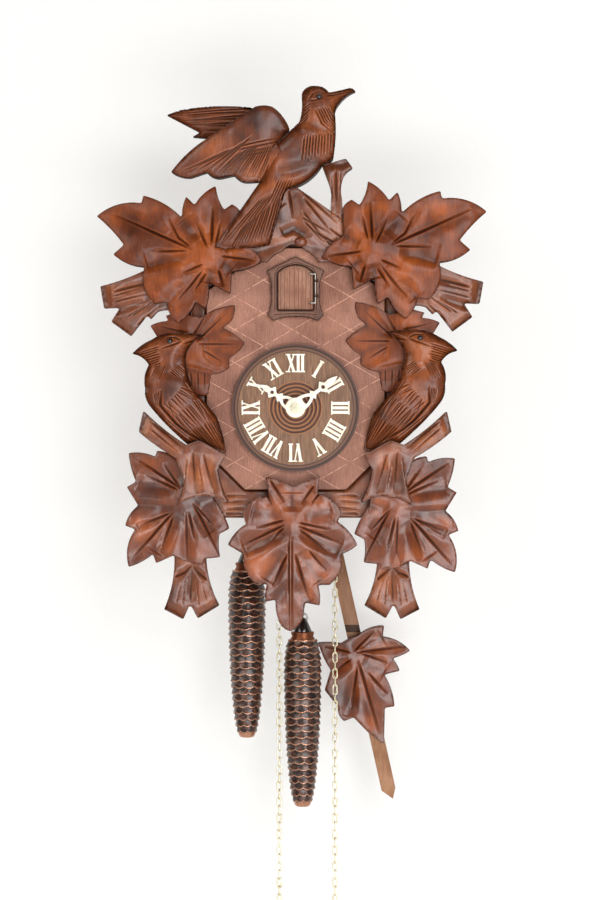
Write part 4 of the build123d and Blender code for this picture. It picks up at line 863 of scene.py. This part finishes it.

# %% [markdown]
# The gable board fills the peak under the big bird. Its arms carry bark-like strokes, and a hollow over the
# middle makes room for a peg. The hollow is darkened strongly, as a painted shadow.

# %% Gable
gable_strokes = [
    *nick([(7, 21), (30, 1)], [(8, 17), (25, -4)], [(7, 9), (21, -10)], deep=1.1, wide=0.9),
    *vein([(14, -4), (38, -18)], deep=1.3),
    *nick([(24, -2), (40, -14)], [(22, -10), (38, -22)], [(-6, 22), (-28, 4)], [(-4, 14), (-22, 0)]),
    *vein([(-2, 22), (1, 4)], deep=1.2),
    *crease([(-30, -20), (0, -11), (30, -20)]),
    # Painted shadow: this hollow is darkened far more than its depth alone gives.
    *crease([(-7, -6.5), (1.5, -2.5), (8.5, -7.5)], valley=3.0, reach=4.0, stain=2.2),
    *nick([(8, 2), (21, -11)], [(6, 5), (26, -6)], deep=1.1),
]
carve("crest_gable", branch_wood, laid_out(gable_strokes, LEAF_AXIS, 118.6))

# %% [markdown]
# The big bird on top has a spread wing on each side. The far wing and the tail are in one piece with the body,
# and the near wing is carved apart and glued on. Feathers are rows of straight nicks.

# %% Crest bird
CREST_BIRD = (2.9, 173.7)
BROW_ABOVE = ((5.5, 24.0), (8.5, 28.6), (12.5, 30.2), (17.0, 28.6))
LID_BELOW = ((5.5, 24.0), (10.0, 24.2), (14.0, 25.4), (17.0, 28.6))
crest_strokes = [
    *nick([(16, 27.0), (25, 28.8), (35.0, 31.6)], deep=1.2, wide=0.75),
    *nick(BROW_ABOVE, LID_BELOW, deep=0.9, wide=0.7),
    *crease([(-14, 18), (-7, 10), (0, 4)], valley=2.4, reach=3.5),
    *crease([(-2, 22), (4, 10), (20, 3)], valley=1.4, reach=4.5),
    *crease([(-16, -24), (-4, -22), (12, -16)], valley=1.6, reach=4.0),
    *comb(6, ((10, 18), (18, 20)), ((14, 9), (21.5, 14)), ((21.5, 3), (24, 10))),
    *comb(6, ((6.5, 22), (5.5, 13)), ((-0.5, 16), (-2.5, 6)), deep=0.9),
    *comb(5, ((3, 31), (7, 33)), ((1, 22), (4, 24)), deep=0.6, wide=0.6),
    *comb(10, ((3, 0.5), (20, 3)), ((1, -18), (19.5, -11))),
    *comb(6, ((-13, -26), (-5, -27)), ((-24, -50), (-14, -48))),
    *comb(5, ((-24, -38), (-16, -34)), ((-50, -67), (-38, -66)), deep=1.1, wide=0.75),
    *comb(13, ((-35, -55), (-12, -36)), ((-45, -71), (-19, -64)), deep=1.4, wide=0.8),
    *comb(9, ((-30, 21), (-36, 2)), ((-85, 17.5), (-60, 3)), deep=1.1, wide=0.75),
]
crest_bird = carve(
    "crest_bird", bird_wood, laid_out(crest_strokes, *CREST_BIRD), voxel=0.54, rounding=8, roundness=0.75)

wing_strokes = [
    *comb(12, ((-12, -4), (4, 6)), ((-43, -15), (-20, -16)), wide=0.7, uneven=0.2),
    *comb(9, ((-3, -3), (10, 3)), ((-19, -18), (-8, -17)), wide=0.7, uneven=0.2),
    *comb(9, ((7, -1), (19, 2)), ((-5, -18), (10, -21)), wide=0.7, uneven=0.2),
    *comb(4, ((-4, 0.5), (-2, -6)), ((26, 7), (24, -1)), deep=0.9, wide=0.7),
    *crease([(32, 12), (28, -2), (14, -24)], valley=4.0, reach=9.0, stain=0.0),
]
WING_ROOT = (-6.0, 164.0, 24.0)
carve(
    "crest_near_wing", bird_wood, laid_out(wing_strokes, -32.7, 167.2), voxel=0.5, rounding=4,
    joined=WING_ROOT)

# %% [markdown]
# The leaf on the pendulum covers the end of the rod. It hangs with the rod, a little off upright.

# %% Pendulum leaf
BOB_CENTRE = (39.5, -164.3)
bob_strokes = [
    *vein([(2, 1), (34.5, 5)], valley=2.0),
    *vein(
        [(5.5, 0), (22, -6)], [(2, -9), (-2, -37)], [(9.5, -13), (22, -27)], [(-2.7, -4), (-14, -13)],
        [(0, 2), (13, 15)]),
    *vein([(2.7, -5), (17.8, -57)], deep=1.6, wide=1.1, valley=2.2, reach=5.5),
    *vein([(-3, 1), (-20, 5)], deep=1.2),
    *crease([(20, 11), (4, 3)], [(21, -14), (5, -5)]),
    *crease([(-6, -44), (1, -18)], [(-16, -11), (-3, -5)], valley=1.8, reach=4.5),
]
carve("pendulum_leaf", leaf_wood, laid_out(bob_strokes, *BOB_CENTRE), rounding=2.0, body="pendulum")

# %% [markdown]
# The bird's door is one thin board scored to look like planks. Its surround is sawn from sheet, with softened
# edges and one line cut round the border.

# %% Door and surround
FIRST_PLANK, PLANK = -9.6, 2.75
door_cuts = []
for number in range(8):
    x = FIRST_PLANK + PLANK * number + 0.9 * noise.noise((1.7 * number, 0.4, 0))
    door_cuts += nick([(x, 62), (x + 0.2, 95)], deep=0.22, wide=0.32, even=True)
carve("cuckoo_door", door_wood, door_cuts, voxel=0.3, rounding=0.8, thin=1.5, body="cuckoo_door", curl=0.0)
surround_cuts = nick(
    [(-13.4, 63), (-13.4, 87), (-11, 91), (0, 94.6)], [(13.4, 63), (13.4, 87), (11, 91), (0, 94.6)],
    [(-14, 60.6), (0, 61.3), (14, 60.6)], deep=0.35, wide=0.45, even=True)
carve("door_surround", sawn_wood, surround_cuts, voxel=0.35, rounding=1.2, thin=1.5, curl=0.0)

# %% [markdown]
# Moulded and stamped pieces have a small round on each edge, which catches the light. Their solids are copied,
# flat faces are joined again, and the sharp edges are bevelled. The frame round the panel is carved like the
# leaves, with a few nicks at its lower corners.

# %% Edge rounds
def add_piece(name, shape, finish, body, smooth=None):
    """Turns a bmesh into a piece that rides on a body."""
    bmesh.ops.recalc_face_normals(shape, faces=shape.faces)
    mesh = mesh_from(name, shape)
    mesh.shade_smooth()
    if smooth is not None:
        mesh.set_sharp_from_angle(angle=math.radians(smooth))
    paint(mesh, finish)
    piece = put_in_scene(name, mesh)
    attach(piece, body)
    return piece


FLAT = math.radians(1)
SHARP = math.radians(35)


def bevelled(node, finish, width, body):
    shape = copy_of(nodes[node].data, 1e-6)
    bmesh.ops.dissolve_limit(shape, angle_limit=FLAT, verts=shape.verts, edges=shape.edges)
    sharp = [edge for edge in shape.edges if edge.is_manifold and edge.calc_face_angle() > SHARP]
    bmesh.ops.bevel(
        shape, geom=sharp, offset=width * MM, segments=2, profile=0.5, affect="EDGES",
        clamp_overlap=True, material=-1)
    piece = add_piece(node + "_edged", shape, finish, body, 30)
    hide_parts(node)
    return piece


bevelled("numerals", ivory, 0.22, "case")
bevelled("hour_hand", ivory, 0.3, "hour_hand")
bevelled("minute_hand", ivory, 0.3, "minute_hand")
bevelled("front_panel", panel_wood, 0.8, "case")
frame_cuts = []
for level in (-57.4, -61.5, -66.0, -69.0):
    frame_cuts += nick([(-46, level), (-31, level + 1)], [(41, level), (26, level + 1)])
carve("carved_frame", branch_wood, frame_cuts, voxel=0.9, curl=0.5)
bevelled("pendulum_rod", rod_wood, 0.5, "pendulum")
bevelled("roof_boards", roof_wood, 0.8, "case")
print("bevelled pieces made")

# %% [markdown]
# A round peg shows in the hollow under the gable, where the crest is pinned to the case. It would be turned
# from a dowel with a domed end. A flattened ball is enough, as only the dome is seen.

# %% Gable peg
PEG_RADIUS = 3.8
PEG_PLACE = (3.4, 107.6)
peg_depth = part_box("crest_gable")[0][1] / MM + 3.0
shape = bmesh.new()
made = bmesh.ops.create_uvsphere(shape, u_segments=32, v_segments=18, radius=PEG_RADIUS * MM)
bmesh.ops.scale(shape, verts=made["verts"], vec=(1.15, 0.8, 0.9))
peg_centre = Vector((PEG_PLACE[0], peg_depth, DIAL / MM + PEG_PLACE[1])) * MM
bmesh.ops.translate(shape, verts=made["verts"], vec=peg_centre)
add_piece("gable_peg", shape, leaf_wood, "case")
print("peg at", PEG_PLACE)

# %% [markdown]
# Eyes are small turned beads, black and glossy. Each is set into the carved head, so its place is read from the
# carved surface.

# %% Eyes
def glossy_black(name):
    finish = Finish(name, Coat_Roughness=0.05)
    dust = finish.noise(finish.place, 2.0, 3.0)
    colour = finish.ramp(dust, [(0.4, tint(14, 10, 9)), (0.7, tint(34, 26, 22))])
    finish.bump(dust, 0.05, 0.05 * MM)
    return finish.shade(Base_Color=colour, Roughness=0.12 + 0.2 * dust, Coat_Weight=0.6)


bead_black = glossy_black("bead_black")


def front_at(piece, x, z):
    """How far forward a piece reaches at a place in front view, in metres."""
    spots = points_of(piece.data)
    away = np.hypot(spots[:, 0] - x * MM, spots[:, 2] - DIAL - z * MM)
    return spots[away < 1.0 * MM, 1].min()


def bead(name, piece, x, z, radius):
    shape = bmesh.new()
    bmesh.ops.create_uvsphere(shape, u_segments=24, v_segments=14, radius=radius * MM)
    depth = front_at(piece, x, z) + 0.35 * radius * MM
    bmesh.ops.translate(shape, verts=shape.verts, vec=(x * MM, depth, DIAL + z * MM))
    return add_piece(name, shape, bead_black, "case")


EYE_OUT, EYE_UP = 1.0, 27.9
bead("left_eye", left_bird, LEFT_BIRD[0] - EYE_OUT, LEFT_BIRD[1] + EYE_UP, 1.9)
bead("right_eye", right_bird, RIGHT_BIRD[0] + EYE_OUT, RIGHT_BIRD[1] + EYE_UP, 1.9)
bead("crest_eye", crest_bird, CREST_BIRD[0] + 12.2, CREST_BIRD[1] + 26.5, 1.8)
print("eyes set")

# %% [markdown]
# The weights are cast as fir cones: rows of rounded scales that overlap like tiles, each row shifted by half a
# scale. The body is turned first. Then the surface is raised by the tallest of the scales that reach a place.
# The casting is lacquered dark brown and rubbed to copper on the high spots, which partly stands for a painted
# highlight, and the low places between scales are painted nearly black as shade. A copper band and a black cap
# close its top, and a wire hook takes the chain.

# %% Cone finish
def cone_finish(name):
    finish = Finish(name, Coat_Roughness=0.15)
    lip = finish.mark("lip")
    ridge = finish.mark("ridge")
    grime = finish.noise(finish.place, 0.35, 3.0)
    fine = finish.noise(finish.place, 3.0, 3.0)
    # Copper on the lips is rubbed wear and partly a painted highlight.
    wear_and_highlight = (lip + 0.35 * (fine - 0.5) + 0.3 * (grime - 0.5)).fade(0.35, 0.85)
    dark = finish.ramp(grime, [(0.36, tint(30, 17, 12)), (0.50, tint(62, 36, 26)), (0.66, tint(98, 62, 46))])
    copper = finish.ramp(fine, [(0.35, tint(170, 112, 84)), (0.65, tint(212, 156, 124))])
    colour = finish.mix(0.9 * wear_and_highlight, dark, copper)
    # Painted shade: the low places between the scales go nearly black.
    colour = finish.mix(ridge.fade(0.42, 0.22), colour, tint(14, 8, 6))
    finish.bump(fine, 0.25, 0.1 * MM)
    rough = 0.30 - 0.1 * wear_and_highlight + 0.12 * fine
    return finish.shade(Base_Color=colour, Metallic=0.3 + 0.5 * wear_and_highlight, Roughness=rough, Coat_Weight=0.5)


cone_iron = cone_finish("cone_iron")
band_copper = metal("band_copper", tint(150, 92, 64), tint(92, 52, 34), 0.3)

# %% [markdown]
# A lathe piece is a line of points turned about an upright axis. A ring is a circle of wire turned likewise.

# %% Turned pieces
def turned(name, profile, at, finish, body, steps=48):
    """A lathe piece: (radius, height) points turned about an upright line, in millimetres."""
    shape = bmesh.new()
    verts = [shape.verts.new((radius * MM, 0, height * MM)) for radius, height in profile]
    edges = [shape.edges.new(pair) for pair in zip(verts, verts[1:])]
    bmesh.ops.spin(
        shape, geom=verts + edges, axis=(0, 0, 1), cent=(0, 0, 0), angle=math.tau, steps=steps, use_merge=True)
    bmesh.ops.remove_doubles(shape, verts=shape.verts, dist=1e-7)
    bmesh.ops.translate(shape, verts=shape.verts, vec=Vector(at) * MM)
    return add_piece(name, shape, finish, body, 60)


def wire_ring(name, radius, wire, at, finish, body):
    """A ring of round wire that stands in the plane of the dial."""
    shape = bmesh.new()
    made = bmesh.ops.create_circle(shape, radius=wire * MM, segments=14)
    bmesh.ops.translate(shape, verts=made["verts"], vec=(radius * MM, 0, 0))
    bmesh.ops.spin(
        shape, geom=made["verts"] + list(shape.edges), axis=(0, 1, 0), cent=(0, 0, 0), angle=math.tau,
        steps=48, use_merge=True)
    bmesh.ops.translate(shape, verts=shape.verts, vec=Vector(at) * MM)
    return add_piece(name, shape, finish, body)

# %% [markdown]
# Each cone is turned, and then its scales are raised.

# %% Cone weights
CONE_LENGTH = 116.0
CONE_RADIUS = 12.2
CONE_TOP = 8.6
CONE_TIP = 3.4
CONE_SHOULDER = 0.20
CONE_BELLY = 0.42
CONE_NECK = 0.04
CONE_ROWS = 27
SCALES_AROUND = 9
SCALE_RISE = 1.5
CONE_STEPS_DOWN, CONE_STEPS_AROUND = 264, 168
CHAIN_Y = -57.0


def cone_radius(share):
    rise = np.sin(np.pi / 2 * np.clip(share / CONE_SHOULDER, 0, 1))
    fall = np.cos(np.pi / 2 * np.clip((share - CONE_SHOULDER) / (1 - CONE_SHOULDER), 0, 1))
    shoulder = CONE_TOP + (CONE_RADIUS - CONE_TOP) * rise
    belly = CONE_TIP + (CONE_RADIUS - CONE_TIP) * np.clip(fall, 0, 1) ** CONE_BELLY
    return np.where(share < CONE_SHOULDER, shoulder, belly)


def scales(turn, rows):
    """Height of the scales and nearness to a lip, 0 to 1, by the turn round the cone and the rows down it."""
    height = np.full(len(turn), 0.1)
    lip = np.zeros(len(turn))
    for step in (-1, 0):
        row = np.floor(rows) + step
        across = turn * SCALES_AROUND + 0.5 * (row % 2)
        across = 2 * (across - np.round(across))
        reach = (rows - row) / (1.30 - 0.30 * across ** 2)
        rise = np.where(reach < 1, 0.2 + 0.8 * np.clip(reach, 0, 1) ** 1.6, 0)
        higher = rise > height
        height[higher] = rise[higher]
        lip[higher] = np.clip((reach[higher] - 0.76) / 0.16, 0, 1)
    return height, lip


def fir_cone(side, x, top):
    node = side + "_weight"
    shares = CONE_NECK + (1 - CONE_NECK) * np.arange(CONE_STEPS_DOWN + 1) / CONE_STEPS_DOWN
    profile = [(0.01, -CONE_LENGTH * CONE_NECK)]
    profile += [(float(cone_radius(share)), float(-CONE_LENGTH * share)) for share in shares]
    profile += [(0.01, -CONE_LENGTH)]
    place = (x, CHAIN_Y, DIAL / MM + top)
    cone = turned(node + "_cone", profile, place, cone_iron, node, CONE_STEPS_AROUND)
    spots = points_of(cone.data)
    out = spots / MM - np.array(place)
    share = -out[:, 2] / CONE_LENGTH
    turn = np.arctan2(out[:, 1], out[:, 0]) / math.tau
    height, lip = scales(turn + 0.02 * np.sin(9 * share), share * CONE_ROWS)
    fade = np.clip((share - CONE_NECK) / 0.02, 0, 1) * np.clip((0.985 - share) / 0.03, 0, 1)
    reach = np.hypot(out[:, 0], out[:, 1])
    grow = 1 + fade * SCALE_RISE * (height - 0.6) / np.maximum(reach, 2.0)
    spots[:, :2] = (np.array(place[:2]) + out[:, :2] * grow[:, None]) * MM
    cone.data.vertices.foreach_set("co", spots.ravel())
    write_mark(cone.data, "ridge", 1 - fade + height * fade)
    write_mark(cone.data, "lip", np.maximum(lip, 1 - fade))
    cone.data.update()
    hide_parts(node)
    band = [(5.0, -5.6), (8.6, -5.2), (7.1, -2.6), (7.8, -0.2), (7.4, 0.4), (5.0, 0.4)]
    turned(node + "_band", band, place, band_copper, node)
    cap = [(0.01, 9.8), (1.4, 9.6), (2.4, 8.8), (3.9, 6.0), (5.4, 2.6), (6.2, 0.6), (6.2, 0.0), (5.0, -0.4)]
    turned(node + "_cap", cap, place, bead_black, node)
    wire_ring(node + "_hook", 3.0, 0.7, (x, CHAIN_Y, place[2] + 9.5), steel, node)
    print(node, "cone:", len(cone.data.polygons), "faces")


for side, drop in (("left", 102.5), ("right", 148.5)):
    low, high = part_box(side + "_weight")
    fir_cone(side, 0.5 * (low[0] + high[0]) / MM, -drop)

# %% [markdown]
# Each chain has a loaded side and a free side that ends in a pull ring. The real free side is much longer
# and would hang to the floor. Here it ends where the picture does. Links are copied from the solids with fewer
# faces, and the ring is made apart. Points down the hanging chain are read from a spline.

# %% Free chains
RING_ROOM = 13.0
FACES_KEPT = 0.45


def links_above(name, node, level, finish, body):
    """The links of a chain whose middle is above a level, as a new piece."""
    shape = copy_of(nodes[node].data, 1e-7)
    ring = [face for face in shape.faces if face.calc_center_median().z < level]
    bmesh.ops.delete(shape, geom=ring, context="FACES")
    piece = add_piece(name, shape, finish, body, 40)
    fewer = piece.modifiers.new("fewer", "DECIMATE")
    fewer.ratio = FACES_KEPT
    apply_modifier(piece)
    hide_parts(node)
    return piece


def hanging_line(x, top, bottom):
    """Points down a hanging chain, read from a spline."""
    curve = bpy.data.curves.new("chain_line", "CURVE")
    curve.dimensions = "3D"
    spline = curve.splines.new("NURBS")
    spline.points.add(3)
    for number, point in enumerate(spline.points):
        point.co = (x * MM, CHAIN_Y * MM, top + (bottom - top) * number / 3, 1)
    spline.order_u = 3
    spline.use_endpoint_u = True
    holder = bpy.data.objects.new("chain_line", curve)
    line = bpy.data.meshes.new_from_object(holder)
    points = [tuple(vertex.co) for vertex in line.vertices]
    bpy.data.objects.remove(holder)
    bpy.data.meshes.remove(line)
    return points


for side in ("left", "right"):
    node = side + "_free_chain"
    low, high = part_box(node)
    x = 0.5 * (low[0] + high[0]) / MM
    bottom = low[2] + RING_ROOM * MM
    chain = links_above(node + "_links", node, bottom, chain_brass, node)
    ring = wire_ring(
        node + "_ring", 5.0, 0.8, (x, CHAIN_Y, low[2] / MM + 5.8), chain_brass, node)
    line = hanging_line(x, high[2], bottom)
    print(node, "length:", round((high[2] - bottom) / MM), "mm")

# %% [markdown]
# The clock hangs on a pale wall. The wall is one-sided, so a view from behind looks through it, and it takes
# the clock's soft shadow. Part of it glows to the camera, so it stays white. A floor lies out of sight below.

# %% Wall and floor
WALL_GLOW = 0.55


def stage_plane(name, size, place, turn, colour):
    shape = bmesh.new()
    bmesh.ops.create_grid(shape, x_segments=1, y_segments=1, size=size)
    bmesh.ops.rotate(shape, verts=shape.verts, cent=(0, 0, 0), matrix=Matrix.Rotation(turn, 3, "X"))
    bmesh.ops.translate(shape, verts=shape.verts, vec=place)
    mesh = mesh_from(name, shape)
    finish = Finish(name)
    grain = finish.noise(finish.place, 0.4, 3.0)
    shade = finish.ramp(grain, [(0.3, tint(*(part - 3 for part in colour))), (0.7, tint(*colour))])
    finish.shade(Base_Color=shade, Roughness=0.95)
    solid = Wire(finish.tree, finish.shader.outputs[0])
    white = finish.node("Emission", {}, {"Color": tint(255, 254, 252), "Strength": 1.0})
    seen = None
    for kind in ("Is Camera Ray", "Is Glossy Ray", "Is Transmission Ray"):
        ray = finish.node("LightPath", {}, {}, kind)
        seen = ray if seen is None else seen.sum("MAXIMUM", seen, ray)
    lit = finish.node("MixShader", {}, {0: seen * WALL_GLOW, 1: solid, 2: white})
    behind = finish.node("NewGeometry", {}, {}, "Backfacing")
    clear = finish.node("BsdfTransparent", {}, {})
    both = finish.node("MixShader", {}, {0: behind, 1: lit, 2: clear})
    finish.tree.links.new(both.socket, finish.tree.nodes["Material Output"].inputs["Surface"])
    mesh.materials.append(finish.material)
    put_in_scene(name, mesh)


stage_plane("wall", 3.0, (0, 0.003, 0), math.radians(90), (252, 250, 246))
stage_plane("floor", 3.0, (0, 0, -0.70), 0, (244, 242, 238))

# %% [markdown]
# A window to the upper right lights the front, a pale table in front throws light up at it, and the room
# returns a weaker, warmer light from the left.

# %% Light
def window(name, place, aim, size, power, colour):
    lamp = bpy.data.lights.new(name, "AREA")
    lamp.shape = "RECTANGLE"
    lamp.size, lamp.size_y = size
    lamp.energy = power
    lamp.color = colour
    holder = put_in_scene(name, lamp)
    holder.location = place
    holder.rotation_euler = (Vector(aim) - Vector(place)).to_track_quat("-Z", "Y").to_euler()


window("window", (0.55, -1.55, 0.32), (0, -0.05, -0.1), (0.8, 0.8), 11.5, (0.96, 0.98, 1.0))
window("table", (0.22, -1.35, -0.60), (0, -0.05, -0.05), (1.2, 0.5), 13, (0.95, 0.97, 1.0))
window("room", (-1.0, -1.3, 0.5), (0, -0.05, -0.1), (0.8, 0.8), 7, (1.0, 0.97, 0.92))
world = bpy.data.worlds.new("room_light")
bpy.context.scene.world = world
world.use_nodes = True
sky = world.node_tree.nodes["Background"].inputs
sky["Color"].default_value = (0.96, 0.98, 1.0, 1)
sky["Strength"].default_value = 0.20
bpy.context.scene.view_settings.view_transform = "Standard"
